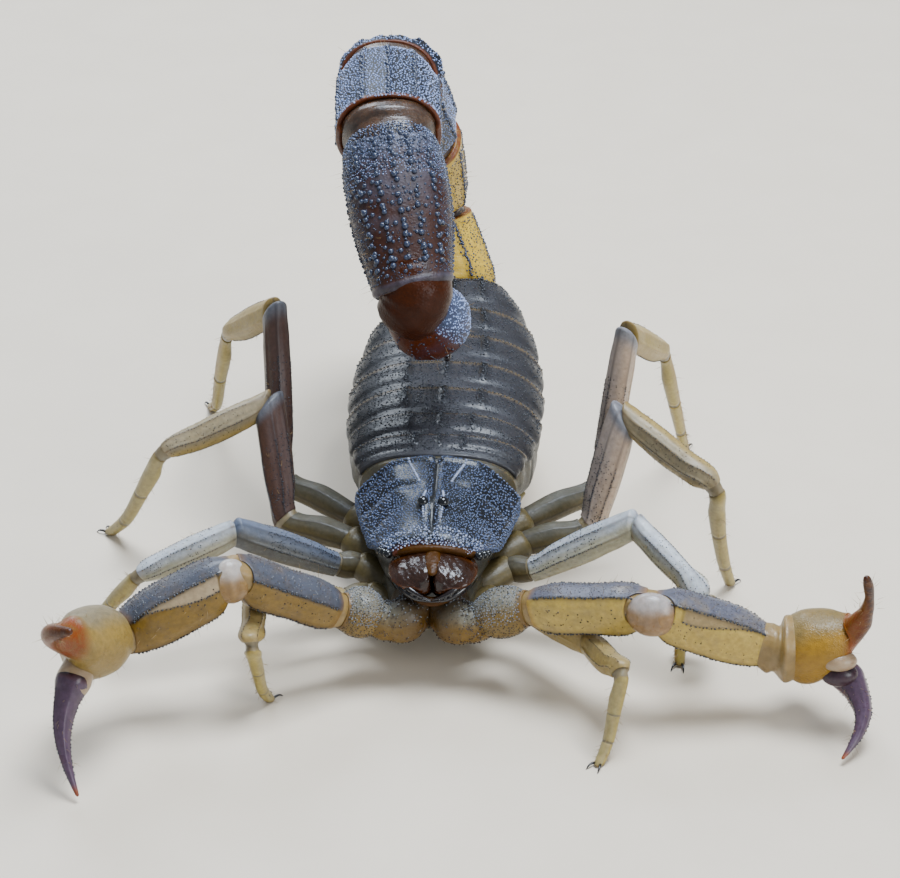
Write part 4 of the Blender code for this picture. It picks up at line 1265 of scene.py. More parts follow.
def combs_and_plate(crowd):
    """Combs with their teeth, the genital plate, the breastbone and the leg roots."""
    for side, word in SIDES:
        node = "comb_" + word
        rings = cad_rings(node, 8, at(side, 1.1, 13.9, 3.0))
        path = smooth_path([ring.mean(axis=0) for ring in rings], 31)
        along = unit(np.gradient(path, axis=0))
        rear = unit(np.cross(along, UP) * -side)
        rear = rear * np.sign(rear[:, 1:2] + 1e-9)
        size = np.interp(np.linspace(0, 1, 31), (0.0, 0.15, 0.8, 1.0), (0.36, 0.44, 0.38, 0.20))
        rods = [rounded(sweep(path - rear * 0.38, size, UP, 14, 1.15))]
        joined_tubes(node + "_shaft", rods, FINISH["belly plate horn"], (node,))
        path, along, rear, size = (part[1:-1] for part in (path, along, rear, size))
        count = len(size)
        radii = size * 0.52
        crowd.add(path + rear * 0.12, rear, np.stack([radii, radii * 0.8, radii * 1.1], axis=1))
        crowd.add(path + rear * 0.72, unit(rear + along * 0.25),
                  np.stack([np.full(count, 0.12), np.full(count, 0.13), size * 1.35], axis=1))
    plates = [ball(at(side, 0.52, 12.95, 3.75), (0.62, 0.75, 0.42), None, 14, 24) for side, _ in SIDES]
    plates.append(ball(at(1, 0.0, 14.1, 3.75), (1.05, 0.62, 0.40), None, 14, 28))
    joined_tubes("genital_plate", plates, FINISH["belly plate horn"], ("belly_plate",))
    joined_tubes("breastbone", [ball(at(1, 0.0, 10.6, 3.45), (0.95, 1.35, 0.42), None, 14, 28)],
                 FINISH["belly plate horn"])
    for side, word in SIDES:
        lobes = []
        for (x, y, z, size), (out_x, out_y, out_z) in zip(LEG_LOBES, LEG_ROOTS):
            middle = (0.5 * (x + out_x), 0.5 * (y + out_y) - 0.15, 0.5 * (z + out_z) - 0.22)
            path = smooth_path([at(side, x, y, z), at(side, *middle), at(side, out_x, out_y, out_z)], 26)
            share = np.linspace(0.0, 1.0, 26)
            radii = size * (0.72 + 0.34 * ease(share, 0.0, 0.6) - 0.08 * ease(share, 0.7, 1.0))
            lobes.append(rounded(sweep(path, radii, turns=28, flat=1.25)))
        # Their finish is darkened as painted shade
        joined_tubes("leg_roots_" + word, lobes, FINISH["leg root horn with painted shade"])


# ---------------------------------------------------------------- legs

LEG_KEELS = tuple(math.radians(angle) for angle in (28, 92, 152, -28, -92, -152))
LEG_SIZES = (0.90, 0.95, 1.00, 0.96)
KNEE_BEFORE = 0.80           # beyond this share of the femur the knee is bent
KNEE_AFTER = 0.20            # up to this share of the patella


def ring_share(limb, node, number):
    """Share of a piece's length at one of its rings."""
    first, last = limb.span[node]
    return float((limb.knots[first + number] - limb.knots[first]) / (limb.knots[last] - limb.knots[first]))


def leg_relief(keels, height):
    """Low keels along a leg piece."""
    def relief(share, turn):
        fade = ease(share, 0.02, 0.15) * fall(share, 0.88, 1.0)
        return fade * height * sum(ridge(turn, keel, 0.14) for keel in keels)
    return relief


def leg(side, word, number, grain, bristle, pale):
    """One walking leg: hip, femur, patella, shin and two foot pieces with claws and spurs."""
    base = "leg_%d_%s_" % (number, word)
    femur, patella, foot = base + "femur", base + "patella", base + "foot"
    limb = Limb([(femur, 10), (patella, 10), (foot, 8)], UP, at(side, *LEG_ROOTS[number - 1]))
    size = LEG_SIZES[number - 1]
    # Painted light and shade: the left legs' thighs take the lighter copy of a finish, the right legs' the
    # darker one
    thigh_look = {1: "lower leg horn", 2: "leg horn" if side < 0 else "pale leg horn"}.get(
        number, "right leg horn with painted shade" if side < 0 else "grey leg horn")
    knee_look = "pale leg horn" if number == 2 else "lower leg horn"

    def marks(share, turn):
        keels = sum(ridge(turn, keel, 0.10) for keel in LEG_KEELS[:2] + LEG_KEELS[3:5])
        return {"upper": ease(np.cos(turn), 0.1, 0.9) * (0.3 if number == 1 else 1.0),
                "rim": ridge(turn, PI, 0.5) * fall(share, 0.8, 0.95),
                # Painted sky reflection: blue-grey over the knee end of the thigh
                "panel": ease(share, 0.93, 1.0),
                "stain": np.clip((0.25 if number == 1 else 0.6) * keels
                                 + 0.4 * fall(share, 0.02, 0.08), 0.0, 1.0)}

    def foot_marks(share, turn):
        ends = ease(share, 0.93, 0.99) + fall(share, 0.01, 0.06)
        return {"upper": ease(np.cos(turn), 0.2, 0.9), "rim": ridge(turn, PI, 0.5),
                "stain": np.clip(ends, 0.0, 1.0)}

    def knee_marks(share, turn):
        return {**marks(share, turn), "panel": 0.0}

    joint = ring_share(limb, femur, 2)
    low_relief, relief = leg_relief(LEG_KEELS, 0.05 * size), leg_relief(LEG_KEELS, 0.10 * size)
    # The hip takes the same finish, darkened as painted shade
    shell(base + "hip", limb, femur, FINISH["leg root horn with painted shade"], low_relief, marks, 0.02,
          joint * 0.93, rows=26, turns=60, replaces=())
    shell(base + "thigh", limb, femur, FINISH[thigh_look], relief, marks, joint * 1.03,
          1.0, rows=54, turns=60, tip=0.55, even=(0.0, KNEE_BEFORE))
    shell(base + "knee", limb, patella, FINISH[knee_look], relief, knee_marks, 0.02,
          0.975, rows=54, turns=60, even=(KNEE_AFTER, 1.0))
    first, second = ring_share(limb, foot, 2), ring_share(limb, foot, 3)
    for part, low, high, rows, turns, nodes in (("shin", 0.03, first * 0.975, 36, 48, (foot,)),
                                                ("foot", first * 1.03, second * 0.98, 26, 40, ()),
                                                ("toe", second * 1.02, 0.975, 22, 36, ())):
        shell(base + part, limb, foot, FINISH["foot horn"], None, foot_marks, low, high,
              rows=rows, turns=turns, replaces=nodes)

    def fill(length, turn):
        knees = [limb.length(femur, joint), limb.length(foot, 0.0), limb.length(foot, first),
                 limb.length(foot, second)]
        near = sum(hump(length, knee, 0.45 * size) for knee in knees)
        bend = np.exp(-((length - limb.length(patella, 0.0)) / (2.4 * size)) ** 4)
        return 0.84 + 0.12 * np.clip(near, 0.0, 1.0) - 0.50 * bend

    skin(base + "skin", limb, limb.knots[0] + 0.1, limb.knots[-1] - 0.25, FINISH["pale joint skin"],
         fill, rows=110, turns=32)
    for keel in LEG_KEELS[:2] + LEG_KEELS[3:5]:
        grain_row(grain, limb, femur, keel, joint * 1.1, KNEE_BEFORE, 0.17, 0.060 * size, relief)
        grain_row(grain, limb, patella, keel, KNEE_AFTER, 0.93, 0.19, 0.052 * size, relief)
    grain_field(grain, limb, femur, joint * 1.1, KNEE_BEFORE, (-1.5, 1.5), 60 if number == 1 else 260,
                0.045, relief)
    grain_field(pale, limb, femur, joint * 1.1, KNEE_BEFORE, (1.5, 4.8), 100, 0.036, relief)
    grain_field(grain, limb, patella, KNEE_AFTER, 0.94, (-1.4, 1.4), 10 if number == 1 else 130, 0.040,
                relief)
    for node, low, high, count in ((femur, joint, KNEE_BEFORE, 10), (patella, KNEE_AFTER, 0.95, 16),
                                   (foot, 0.05, 0.97, 46)):
        bristles(bristle, limb, node, low, high, ALL_ROUND, count, 0.55 * size, lean=0.8)
    bristles(bristle, limb, foot, first, 0.97, (PI - 0.7, PI + 0.7), 26, 0.36 * size, 0.022, lean=0.9)
    claws_and_spurs(base, limb, foot, second, size)


def claws_and_spurs(base, limb, foot, second, size):
    """Two curved claws at the tip of a foot and two spurs at its last joint."""
    tip, spur = limb.centre(limb.length(foot, 0.99)), limb.centre(limb.length(foot, second))
    ahead = unit(tip - spur)
    level = unit(np.array([ahead[0], ahead[1], 0.0]) + 1e-6)
    across = np.cross(level, UP)
    claws = []
    for hand in (-1, 1):
        out = across * hand
        root = tip + out * 0.12 + np.array([0.0, 0.0, 0.10])
        bend = [root, root + level * 0.35 + out * 0.18 + UP * 0.12,
                root + level * 0.78 + out * 0.30 - UP * 0.02,
                root + level * 0.95 + out * 0.32 - UP * 0.30]
        claws.append(sweep(smooth_path(bend, 14),
                           0.115 * (1.0 - 0.85 * np.linspace(0, 1, 14) ** 1.5) * size, turns=10))
        bend = [spur, spur + out * 0.32 * size + ahead * 0.25 - UP * 0.05,
                spur + out * 0.46 * size + ahead * 0.62 - UP * 0.12]
        claws.append(sweep(smooth_path(bend, 8), 0.10 * (1.0 - 0.85 * np.linspace(0, 1, 8)) * size,
                           turns=8))
    for claw in claws:
        claw[..., 2] = np.maximum(claw[..., 2], 0.02)
    joined_tubes(base + "claws", claws, FINISH["claw horn"])


# ---------------------------------------------------------------- arms

ARM_KEELS = tuple(math.radians(angle) for angle in (42, 138, -42, -138))
# Rings of the hand: where the finger's collar starts, where the finger sits and where the palm ends
COLLAR_RING, FINGER_RING, PALM_RING = 3, 4, 5
FINGER_KEELS = (1.3, -1.3, 2.5, -2.5)


def arm_relief(keels):
    """Keels of an arm piece with slightly sunk panels between them."""
    def relief(share, turn):
        fade = ease(share, 0.03, 0.16) * fall(share, 0.84, 0.97)
        return fade * (0.15 * sum(ridge(turn, keel, 0.12) for keel in keels) - 0.05)
    return relief


def arm(side, word, grain, fine, pale, bristle):
    """One arm with its soft elbows, its swollen hand and two fingers."""
    base = "arm_" + word + "_"
    names = [base + part for part in ("trochanter", "femur", "patella", "hand")]
    trochanter, femur, patella, hand = names
    limb = Limb([(name, 12) for name in names], UP, at(side, 3.4, -1.3, 4.9))
    front = side * 0.5 * PI
    upper_keel = 0.66 if side > 0 else 1.12
    femur_keels = (side * upper_keel, side * 2.4, -side * 0.75, -side * 2.4)
    panel_low, panel_high, panel_wide = (0.24, 0.86, 0.52) if side > 0 else (0.14, 0.93, 0.62)

    def panel_edge(share):
        return 0.74 + panel_wide * (1.0 - ease(share, panel_low + 0.05, panel_high + 0.05))

    def marks_over(keels):
        edges = sorted(keels[::2])

        def marks(share, turn):
            gap = (turn + PI) % (2.0 * PI) - PI
            top = (ease(gap, edges[0] - 0.05, edges[0] + 0.05)
                   * fall(gap, edges[1] - 0.05, edges[1] + 0.05))
            lines = sum(ridge(turn, keel, 0.085) for keel in keels)
            ends = ease(share, 0.90, 0.98) + fall(share, 0.01, 0.08)
            return {"upper": top,
                    "rim": np.clip(0.6 * ends + 0.4 * ridge(turn, PI, 0.7), 0.0, 1.0),
                    "stain": np.clip(0.9 * lines * ease(share, 0.02, 0.1), 0.0, 1.0),
                    "panel": 0.0}
        return marks

    def fore_marks(share, turn):
        found = marks_over(ARM_KEELS)(share, turn)
        gap = side * ((turn + PI) % (2.0 * PI) - PI)
        length = ease(share, panel_low, panel_low + 0.02) * fall(share, panel_high - 0.02, panel_high)
        edge = panel_edge(share)
        inside = ease(gap, 0.68, 0.76) * ease(edge - gap, -0.03, 0.03) * length
        line = hump(gap, edge, 0.04) * length
        end = (hump(share, panel_low, 0.010) * ease(gap, 0.7, 0.76)
               * ease(edge - gap, -0.04, 0.0))
        found["panel"] = 0.85 * inside
        found["stain"] = np.clip(found["stain"] + 0.6 * line + 0.6 * end, 0.0, 1.0)
        return found

    def rough_marks(share, turn):
        return {"upper": ease(np.cos(turn), 0.1, 0.8), "rim": ease(share, 0.85, 0.97), "stain": 0.1}

    gap, wide = (0.16, 0.95) if side > 0 else (0.09, 0.9)
    # On the right arm this finish is the darker copy, painted shade
    look = FINISH[word + " arm horn"]

    def open_end(turn):
        return 0.975 - gap * oval(turn, front - side * 0.45, wide)

    def open_start(turn):
        return 0.025 + gap * oval(turn, front - side * 0.45, wide)

    def wrist_end(turn):
        return 0.985 - 0.045 * oval(turn, front + side * 0.1, 1.0)

    upper_relief, fore_relief = arm_relief(femur_keels), arm_relief(ARM_KEELS)
    shell(base + "shoulder", limb, trochanter, FINISH["shoulder horn"], None, rough_marks,
          0.03, 0.985, rows=50, turns=80)
    shell(base + "upper", limb, femur, look, upper_relief, marks_over(femur_keels),
          0.02, open_end, rows=90, turns=112)
    shell(base + "fore", limb, patella, look, fore_relief, fore_marks, open_start,
          wrist_end, rows=100, turns=112)
    palm = ring_share(limb, hand, PALM_RING)

    def hand_relief(share, turn):
        low = 0.05 * sum(ridge(turn, keel, 0.25) for keel in (0.6, -0.6, 2.4, -2.4))
        knuckle = 0.10 * hump(share, palm * 0.93, 0.035) * (0.5 - 0.5 * np.cos(turn))
        root = 0.30 * hump(share, palm * 1.08, 0.07) * ridge(turn, 0.0, 1.1)
        if side > 0:
            root = root - 0.24 * ease(share, palm * 1.1, palm * 1.35) * fall(share, 0.8, 1.0)
        return low * fall(share, palm * 0.7, palm) * ease(share, 0.05, 0.2) + knuckle + root

    def hand_marks(share, turn):
        finger = ease(share, palm * (0.84 if side > 0 else 1.0), palm * (1.12 if side > 0 else 1.2))
        dark = ease(share, palm * 1.4, 1.0) * 0.85
        # On the left hand only, the underside of the finger's base is darkened: painted shade
        if side > 0:
            dark = dark + 0.85 * ease(share, palm * 1.1, palm * 1.3) * ridge(turn, PI, 1.2)
        return {"upper": ease(np.cos(turn), 0.35, 0.9) * (1.0 - finger),
                "rim": np.clip(finger + fall(share, 0.02, 0.06), 0.0, 1.0),
                "stain": np.clip(dark, 0.0, 1.0)}

    shell(base + "palm", limb, hand, FINISH[word + " hand horn"], hand_relief, hand_marks,
          0.015, 0.995, rows=120, turns=80, tip=1.6)
    knees = [(limb.length(femur, 0.0), 0.4, 0.0),
             (limb.length(patella, 0.0), 1.0, 0.06),
             (limb.length(hand, 0.0), 0.9, 0.80 if side > 0 else 0.05)]

    def fill(length, turn):
        swell = 0.0
        for place, reach, bulge in knees:
            near = hump(length, place, reach)
            swell = swell + near * (0.10 + bulge * (0.55 + 0.45 * np.cos(turn - front)))
        return 0.86 + swell

    skin(base + "skin", limb, limb.knots[0] + 0.2, limb.length(hand, palm * 0.5), FINISH["arm joint skin"],
         fill, rows=160, turns=56)
    elbow_bead(side, word, limb, limb.length(patella, 0.0), front)
    for node, low, high, keels, relief in ((femur, 0.08, 0.9, femur_keels, upper_relief),
                                           (patella, 0.13, 0.93, ARM_KEELS, fore_relief)):
        for keel in keels:
            grain_row(grain, limb, node, keel, low, high, 0.23, 0.092, relief)
        upper_side = sorted(keels[::2])
        grain_field(fine, limb, node, low, high, upper_side, 320, 0.045, relief)
        grain_field(pale, limb, node, low, high, upper_side, 130, 0.045, relief)
        grain_field(fine, limb, node, low, high, (0.9, 5.4), 100, 0.040, relief)
        bristles(bristle, limb, node, low, high, ALL_ROUND, 34, 0.7, 0.016, lean=0.4)
    spread = (front - side * 0.6) if side > 0 else front + 0.6
    grain_field(grain, limb, trochanter, 0.04, 0.95, (spread - 2.2, spread + 2.2), 900, 0.055)
    grain_field(pale, limb, trochanter, 0.04, 0.95, (-1.7, 1.7), 1100, 0.062)
    grain_field(grain, limb, femur, 0.1, 0.85, (front - 0.5, front + 0.5), 26, 0.06, upper_relief)
    grain_field(grain, limb, patella, 0.16, 0.5, (front - 0.4, front + 0.4), 12, 0.06, fore_relief)
    grain_row(grain, limb, patella, lambda share: side * panel_edge(share), panel_low, panel_high, 0.26,
              0.07, fore_relief)
    bristles(bristle, limb, hand, 0.1, 0.97, ALL_ROUND, 60, 0.7, 0.016, lean=0.6)
    moving_finger(side, word, limb, bristle, grain)


def elbow_bead(side, word, limb, elbow, front):
    """Swollen soft skin that stands out of the open side of an elbow."""
    facing = limb.normal(elbow, front - side * 0.45)
    along = unit(limb.centre(elbow + 0.5) - limb.centre(elbow - 0.5))
    bead, out = ((1.72, 1.50, 1.0), 0.92) if side > 0 else ((1.36, 1.58, 0.95), 0.72)
    spot = limb.centre(elbow) + facing * out - UP * 0.1
    grid = ball(spot, bead, (along, np.cross(facing, along), facing), 30, 48)
    high = (grid[..., 2] - spot[2]) / bead[1]
    smudge = hump(np.abs((grid - spot) @ along), 0.35, 0.22) * hump(high, 0.0, 0.5)
    marks = {"upper": ease(high, 0.05, 0.75), "rim": 0.5 * ease(-high, 0.3, 0.9), "stain": 0.45 * smudge}
    tube_piece("arm_%s_elbow" % word, grid, FINISH[word + " elbow skin"], marks)


def moving_finger(side, word, limb, bristle, grain):
    """Slender finger with a toothed inner edge, and the soft collar where it joins the hand."""
    node = "arm_%s_finger" % word
    hand = "arm_%s_hand" % word
    palm_end = limb.centre(limb.length(hand, ring_share(limb, hand, FINGER_RING)))
    own = Limb([(node, 10)], unit(palm_end - at(side, 28.0, -5.0, -4.0)), palm_end)

    def relief(share, turn):
        keels = 0.05 * ease(share, 0.05, 0.2) * fall(share, 0.6, 0.9) * sum(
            ridge(turn, keel, 0.2) for keel in (0.0, *FINGER_KEELS))
        return keels - 0.13 * ease(share, 0.25, 0.75) + 0.26 * fall(share, 0.02, 0.16)

    def marks(share, turn):
        return {"upper": 0.75 + 0.45 * np.cos(turn),
                "rim": np.clip(ease(share, 0.90, 0.99) + 0.5 * fall(share, 0.02, 0.08), 0.0, 1.0),
                "stain": np.clip(0.5 * ridge(turn, 1.3, 0.12) + 0.5 * ridge(turn, -1.3, 0.12)
                                 + fall(share, 0.03, 0.07), 0.0, 1.0)}

    shell(node + "_looks", own, node, FINISH["finger horn"], relief, marks, 0.02, 0.99,
          rows=90, turns=64, tip=1.5)
    root = own.centre(own.length(node, 0.10))
    back = limb.centre(limb.length(hand, ring_share(limb, hand, COLLAR_RING)))
    path = smooth_path([back, 0.45 * back + 0.55 * root, root], 20)
    share = np.linspace(0.0, 1.0, 20)
    radii = (0.98 if side > 0 else 1.30) - 0.20 * share + 0.08 * np.sin(share * 9.0)
    joined_tubes(node + "_collar", [rounded(sweep(path, radii, turns=40))],
                 FINISH["finger joint skin"])
    if side > 0:
        base = own.centre(own.length(node, 0.03))
        grid = ball(base + (-0.45, -0.70, 0.45), (1.28, 0.92, 0.84), None, 30, 48)
        high = ease(grid[..., 2] - grid[..., 2].mean(), 0.1, 0.7)
        tube_piece(node + "_root", grid, FINISH["finger horn"],
                   {"upper": 0.6, "rim": 0.0, "stain": 0.7 + 0.3 * high})
        joined_tubes(node + "_cap", [ball(base + (-0.62, -0.95, 1.72), (1.28, 0.9, 0.70), None, 24, 36)],
                     FINISH["finger joint skin"])
    for turn in FINGER_KEELS:
        grain_row(grain, own, node, turn, 0.14, 0.86, 0.26, 0.07, relief)
    bristles(bristle, own, node, 0.08, 0.9, ALL_ROUND, 40, 0.6, 0.014, lean=0.6)


# ---------------------------------------------------------------- tail

TAIL_KEELS = tuple(math.radians(angle) for angle in (34, 74, 108, 147, 180, 213, 252, 286, 326))
END_KEELS = tuple(math.radians(angle) for angle in (42, 84, 131, 156, 180, 204, 229, 276, 318))
RAISED_RING = 3              # its rear end stands out under the bend, with a crest
LONG_RIM_RING = 4            # its rear rim is longer underneath
UNDER_REACH = 0.9            # keels nearer than this to the underside count as lying under
BULB_KEELS = (0.0, 0.55, -0.55, 1.1, -1.1, 1.7, -1.7)


def tail_relief(share, turn):
    """Keels of a tail ring, with a groove on the upper side and a swollen rear rim."""
    fade = ease(share, 0.04, 0.16) * fall(share, 0.82, 0.93)
    keels = sum(ridge(turn, keel, 0.085) for keel in TAIL_KEELS)
    rim = 0.10 * hump(share, 0.955, 0.018)
    groove = 0.30 * ridge(turn, 0.0, 0.42)
    return fade * (0.14 * keels - groove) + rim


def end_relief(share, turn):
    """Keels of the last tail ring, which run out before its smooth rear rim."""
    fade = ease(share, 0.05, 0.2) * fall(share, 0.8, 0.94)
    keels = sum(ridge(turn, keel, 0.075) * (0.2 if abs(keel - PI) < UNDER_REACH else 1.0)
                for keel in END_KEELS)
    rim = 0.12 * hump(share, 0.955, 0.018)
    groove = 0.28 * ridge(turn, 0.0, 0.5)
    return fade * (0.12 * keels - groove) + rim


def raised_relief(share, turn):
    """Relief of the third tail ring, with a knobbly swelling under its raised end."""
    knobs = 0.62 + 0.10 * np.cos(15.0 * turn)
    return tail_relief(share, turn) + knobs * hump(share, 0.885, 0.045) * ease(-np.cos(turn), 0.1, 0.7)


def turned(shape, twist):
    """The same relief or marks, carried round a limb by twist."""
    return lambda share, turn: shape(share, turn - twist)


def cut_back(level, depth, twist):
    """An end of a shell that lies at level and is cut back by depth on the underside."""
    return lambda turn: level + depth * oval(turn - twist, PI, 1.4)


def dorsal_turn(limb, node):
    """The turn at which a tail ring shows its upper side."""
    length = limb.length(node, 0.5)
    along = unit(limb.centre(length + 0.2) - limb.centre(length - 0.2))
    turns = np.linspace(-PI, PI, 361)
    ways = limb.normal(np.full(len(turns), length), turns)
    return float(turns[np.argmax(ways @ unit(np.cross((1.0, 0.0, 0.0), along)))])


def tail(grain, fine, bristle):
    """Five keeled rings over a dark soft skin."""
    names = ["tail_ring_%d" % number for number in range(1, 6)]
    limb = Limb([(name, 16) for name in names], UP, at(1, 0.0, 36.3, 9.65))

    def marks_of(number):
        def marks(share, turn):
            keels = sum(ridge(turn, keel, 0.07) for keel in TAIL_KEELS)
            reach = 0.075 * oval(turn, PI, 1.4) if number == LONG_RIM_RING else 0.0
            rims = ease(share + reach, 0.935, 0.95)
            if number == RAISED_RING:
                rims = np.maximum(rims * ease(np.cos(turn), -0.3, 0.3), ease(share, 0.966, 0.974))
            rims = np.clip(rims + 0.8 * fall(share, 0.025, 0.05), 0.0, 1.0)
            return {"upper": 0.75 * ease(-np.cos(turn), -0.2, 0.9), "rim": rims,
                    "stain": 0.55 * keels * (1.0 - rims)}
        return marks

    def end_marks(share, turn):
        first = fall(share, 0.12, 0.30)
        upper = 0.7 * first + 0.3 * fall(share, 0.2, 0.8) + 0.5 * ease(share, 0.925, 0.95)
        return {"upper": np.clip(upper, 0.0, 1.0), "rim": 0.4 * ridge(turn, 0.0, 1.0),
                "stain": 0.5 * sum(ridge(turn, keel, 0.08) for keel in END_KEELS) * (1.0 - first)}

    for number, name in enumerate(names, 1):
        twist = dorsal_turn(limb, name)
        last = number == len(names)
        shape = end_relief if last else raised_relief if number == RAISED_RING else tail_relief
        relief = turned(shape, twist)
        look = "front tail horn" if number < 3 else "last tail horn" if last else "rear tail horn"
        start = cut_back(0.025, 0.11, twist) if last else 0.02
        end = cut_back(0.975, -0.075, twist) if number == LONG_RIM_RING else 0.975
        shell(name + "_horn", limb, name, FINISH[look],
              relief, turned(end_marks if last else marks_of(number), twist), start, end,
              rows=100, turns=144)
        for keel in END_KEELS if last else TAIL_KEELS:
            under = abs(keel - PI) < UNDER_REACH
            if last:
                run = (0.13, 0.89, 0.58, 0.22) if under else (0.08, 0.92, 0.34, 0.12)
            elif number > 2:
                run = (0.06, 0.97 if number == RAISED_RING and under else 0.90, 0.33, 0.165)
            else:
                run = (0.07, 0.93, 0.22, 0.105)
            grain_row(grain, limb, name, keel + twist, *run, relief, jitter=0.35 if last else 0.25)
        # On the third and fourth rings the small grains take the light colour of painted sky glints
        small = fine["pale" if number in (RAISED_RING, LONG_RIM_RING) else "dark"]
        around = (twist + 0.5, twist + 2.0 * PI - 0.5)
        if last:
            # The pale crowd's light colour is a painted sky glint
            for crowd, low, high, half, count, size, gap in (
                    (grain, 0.10, 0.90, 1.2, 420, 0.165, 1.35), (grain, 0.06, 0.34, 1.5, 700, 0.105, 1.1),
                    (fine["pale"], 0.05, 0.36, 1.5, 2600, 0.062, 1.5)):
                grain_field(crowd, limb, name, low, high, (twist + PI - half, twist + PI + half), count,
                            size, relief, gap=gap)
            grain_field(small, limb, name, 0.05, 0.93, around, 9000, 0.066, relief,
                        lambda share, turn: np.clip(0.10 + ease(np.abs(turn - twist - PI), 0.80, 1.30)
                                                    + 0.8 * fall(share, 0.16, 0.34)
                                                    + 0.5 * ease(share, 0.88, 0.90), 0.0, 1.0))
        else:
            top = 0.97 if number == RAISED_RING else 0.915
            grain_field(small, limb, name, 0.035, top, around, 10000 if number > 2 else 3000, 0.080, relief,
                        lambda share, turn, top=top: 1.0 - (top > 0.95) * ease(share, 0.91, 0.92)
                        * ease(np.cos(turn - twist), -0.1, 0.1), gap=1.22)
        bristles(bristle, limb, name, 0.06, 0.95, around, 60, 0.9, 0.016, lean=0.15, relief=relief)
    skin("tail_skin", limb, limb.knots[0] - 0.5, limb.knots[-1] - 0.2, FINISH["tail joint skin"],
         tail_fill(limb, names), wrinkle=0.05, rows=320, turns=72)
    return limb


def tail_fill(limb, names):
    """How full the soft skin is along the tail: fuller at the joints."""
    joints = [limb.length(name, 0.0) for name in names] + [limb.length(names[-1], 1.0)]

    def fill(length, turn):
        near = sum(hump(length, joint, 0.9) for joint in joints)
        return 0.88 + 0.095 * np.clip(near, 0.0, 1.0)
    return fill


def bulb_turn(bulb, way):
    """The turn at which the bulb faces this way."""
    turns = np.linspace(-PI, PI, 361)
    ways = bulb.normal(np.full(len(turns), bulb.length("sting_bulb", 0.35)), turns)
    return float(turns[np.argmax(ways @ unit(way))])


def sting(limb, fine, bristle):
    """Granular bulb, the glossy curved point and the soft joint that carries them."""
    end = limb.centre(limb.knots[-1] - 0.4)
    way = unit(limb.centre(limb.knots[-1]) - limb.centre(limb.knots[-1] - 1.0))
    bulb = Limb([("sting_bulb", 14)], way, end)
    point_rings = cad_rings("sting_point", 8, bulb.centre(bulb.knots[-1]))
    tip = Limb([("sting_point", 8)], way, bulb.centre(bulb.knots[-1]))

    # The flank that faces right, forward and up is bluer and carries the pale grains
    flank = bulb_turn(bulb, (0.8, -0.4, 0.45))

    def relief(share, turn):
        low = 0.06 * sum(ridge(turn, keel, 0.16) for keel in BULB_KEELS)
        return low * ease(share, 0.1, 0.3) * fall(share, 0.7, 0.95)

    def marks(share, turn):
        return {"upper": ease(np.cos(turn - flank), 0.45, 0.9) * fall(share, 0.5, 0.9),
                "rim": ease(share, 0.8, 0.97),
                "stain": 0.4 * ridge(turn, PI, 0.8)}

    shell("sting_bulb_horn", bulb, "sting_bulb", FINISH["sting horn"], relief, marks, 0.0,
          1.0, rows=70, turns=96, tip=0.9)
    shell("sting_point_horn", tip, "sting_point", FINISH["sting point horn"], None,
          lambda share, turn: {"upper": 0.5, "rim": 0.0, "stain": 0.0}, 0.0, 0.90, rows=60, turns=40,
          tip=1.2)
    neck = smooth_path([bulb.centre(bulb.knots[-1] - 1.2), bulb.centre(bulb.knots[-1]),
                        point_rings[0].mean(axis=0), point_rings[1].mean(axis=0)], 12)
    joined_tubes("sting_neck", [rounded(sweep(neck, np.linspace(1.05, 0.5, 12), turns=24))],
                 FINISH["sting horn"])
    root = bulb.centre(bulb.knots[0] + 0.7) - np.array([0.95, 0.0, -0.3])
    path = smooth_path([limb.centre(limb.knots[-1] - 1.6), end + way * 0.6, 0.5 * (end + way * 1.0 + root),
                        root], 26)
    share = np.linspace(0.0, 1.0, 26)
    radii = 2.62 - 0.50 * share ** 2 + 0.03 * np.sin(share * 30.0)
    joined_tubes("sting_joint", [rounded(sweep(path, radii, turns=56, flat=1.05))],
                 FINISH["tail end joint"])
    for turn in BULB_KEELS:
        grain_row(fine["dark"], bulb, "sting_bulb", turn, 0.08, 0.85, 0.34, 0.085, relief)
    # Pale grains on that flank, their light colour a painted sky glint
    grain_field(fine["pale"], bulb, "sting_bulb", 0.03, 0.75, (flank - 0.9, flank + 0.9), 900, 0.085,
                relief)
    grain_field(fine["dark"], bulb, "sting_bulb", 0.05, 0.8, (-2.3, 0.8), 260, 0.055, relief)
    bristles(bristle, bulb, "sting_bulb", 0.1, 0.95, ALL_ROUND, 14, 0.9, 0.016, lean=0.2)


# ---------------------------------------------------------------- floor, light and camera

def lamp(name, spot, power, shade):
    """Soft square lamp that faces the animal."""
    data = bpy.data.lights.new(name, "AREA")
    data.energy, data.size, data.color = power, LAMP_SIZE, shade
    made = in_scene(bpy.data.objects.new(name, data))
    made.location = Vector(spot)
    made.rotation_euler = (Vector((0.0, 0.0, 0.01)) - Vector(spot)).to_track_quat("-Z", "Y").to_euler()


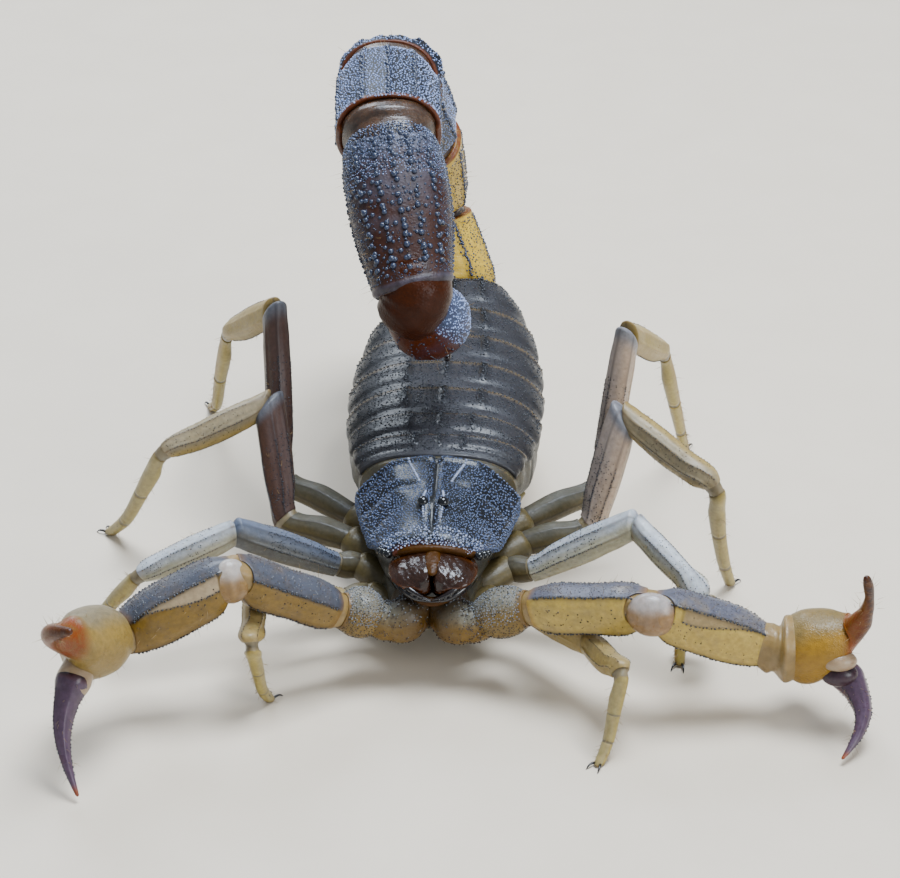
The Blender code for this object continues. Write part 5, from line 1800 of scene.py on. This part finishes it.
def studio():
    """Plain pale floor, soft lamps and the camera."""
    mesh = bpy.data.meshes.new("floor")
    corners = ((-1, -1), (1, -1), (1, 1), (-1, 1))
    mesh.from_pydata([(x * FLOOR_HALF, y * FLOOR_HALF, 0.0) for x, y in corners], [], [(0, 1, 2, 3)])
    look = Finish("pale floor", 0.6)
    look.colour(look.mix(look.noise(6.0, 3.0), tint(214, 205, 190), tint(222, 214, 200)))
    mesh.materials.append(look.material)
    floor = in_scene(bpy.data.objects.new("floor", mesh))
    world = bpy.data.worlds.new("studio")
    world.use_nodes = True
    sky = world.node_tree.nodes["Background"]
    sky.inputs["Color"].default_value = (0.86, 0.92, 1.0, 1.0)
    sky.inputs["Strength"].default_value = 0.42
    bpy.context.scene.world = world
    lamp("key", (0.05, 0.03, 0.34), 2.2, (0.92, 0.96, 1.0))
    lamp("fill", (0.26, -0.22, 0.16), 0.7, (1.0, 0.96, 0.90))
    lamp("back", (-0.12, 0.28, 0.24), 0.8, (0.88, 0.94, 1.0))
    azimuth, elevation = math.radians(AIM_AZIMUTH), math.radians(AIM_ELEVATION)
    back = np.array([math.sin(azimuth) * math.cos(elevation), -math.cos(azimuth) * math.cos(elevation),
                     math.sin(elevation)])
    data = bpy.data.cameras.new("camera")
    data.lens = LENS
    data.sensor_width = SENSOR_WIDTH
    data.clip_start = 0.01
    camera = in_scene(bpy.data.objects.new("camera", data))
    camera.location = Vector((NOSE + AIM + back * AIM_DISTANCE) * MM)
    camera.rotation_euler = Vector(-back).to_track_quat("-Z", "Y").to_euler()
    bpy.context.scene.camera = camera


# Crowds of grains: the name of the piece, its finish, its slot and how finely each grain is made
GRAINS = {
    # The shield's two grain colours are painted glints
    "shield": ("shield_grains", "blue-grey grain", "dark_shell", 1),
    "shield_big": ("shield_rim_grains", "front grain with painted glint", "dark_shell", 1),
    "back": ("back_grains", "dark grain", "dark_shell", 1),
    "back_big": ("back_keel_grains", "dark grain", "dark_shell", 1),
    "comb": ("comb_teeth", "foot horn", "belly_shell", 2),
    "legs": ("leg_grains", "dark grain", "leg_shell", 1),
    "legs_pale": ("leg_pale_grains", "pale grain", "leg_shell", 1),
    "arms": ("arm_keel_grains", "dark grain", "olive_shell", 1),
    "arms_fine": ("arm_fine_grains", "brown grain", "olive_shell", 1),
    "tail_big": ("tail_keel_grains", "steel grain", "tail_shell", 2),
    "tail_dark": ("tail_dark_grains", "steel grain", "tail_end_shell", 1),
    # Painted sky glint: the light colour of these tail grains
    "tail_pale": ("tail_pale_grains", "tail grain with painted sky glint", "tail_shell", 1),
}
BRISTLE_BEND = 0.25


def build():
    """The whole animal."""
    grains = grain_tree()
    crowds = {key: Crowd(name, grains, fineness, FINISH[look], slot)
              for key, (name, look, slot, fineness) in GRAINS.items()}
    hair = Crowd("bristles", bristle_tree(), BRISTLE_BEND, FINISH["bristle"], "olive_shell")
    head_shield()
    shield_grains(crowds["shield_big"], crowds["shield"])
    eyes()
    jaws()
    mouth(crowds["arms_fine"], crowds["legs_pale"])
    trunk(crowds["back_big"], crowds["back"], hair)
    combs_and_plate(crowds["comb"])
    for side, word in SIDES:
        arm(side, word, crowds["arms"], crowds["arms_fine"], crowds["legs_pale"], hair)
        for number in range(1, 5):
            leg(side, word, number, crowds["legs"], hair, crowds["legs_pale"])
    fine = {"dark": crowds["tail_dark"], "pale": crowds["tail_pale"]}
    sting(tail(crowds["tail_big"], fine, hair), fine, hair)
    for crowd in (*crowds.values(), hair):
        crowd.make()
    studio()


FINISH = make_finishes()
build()
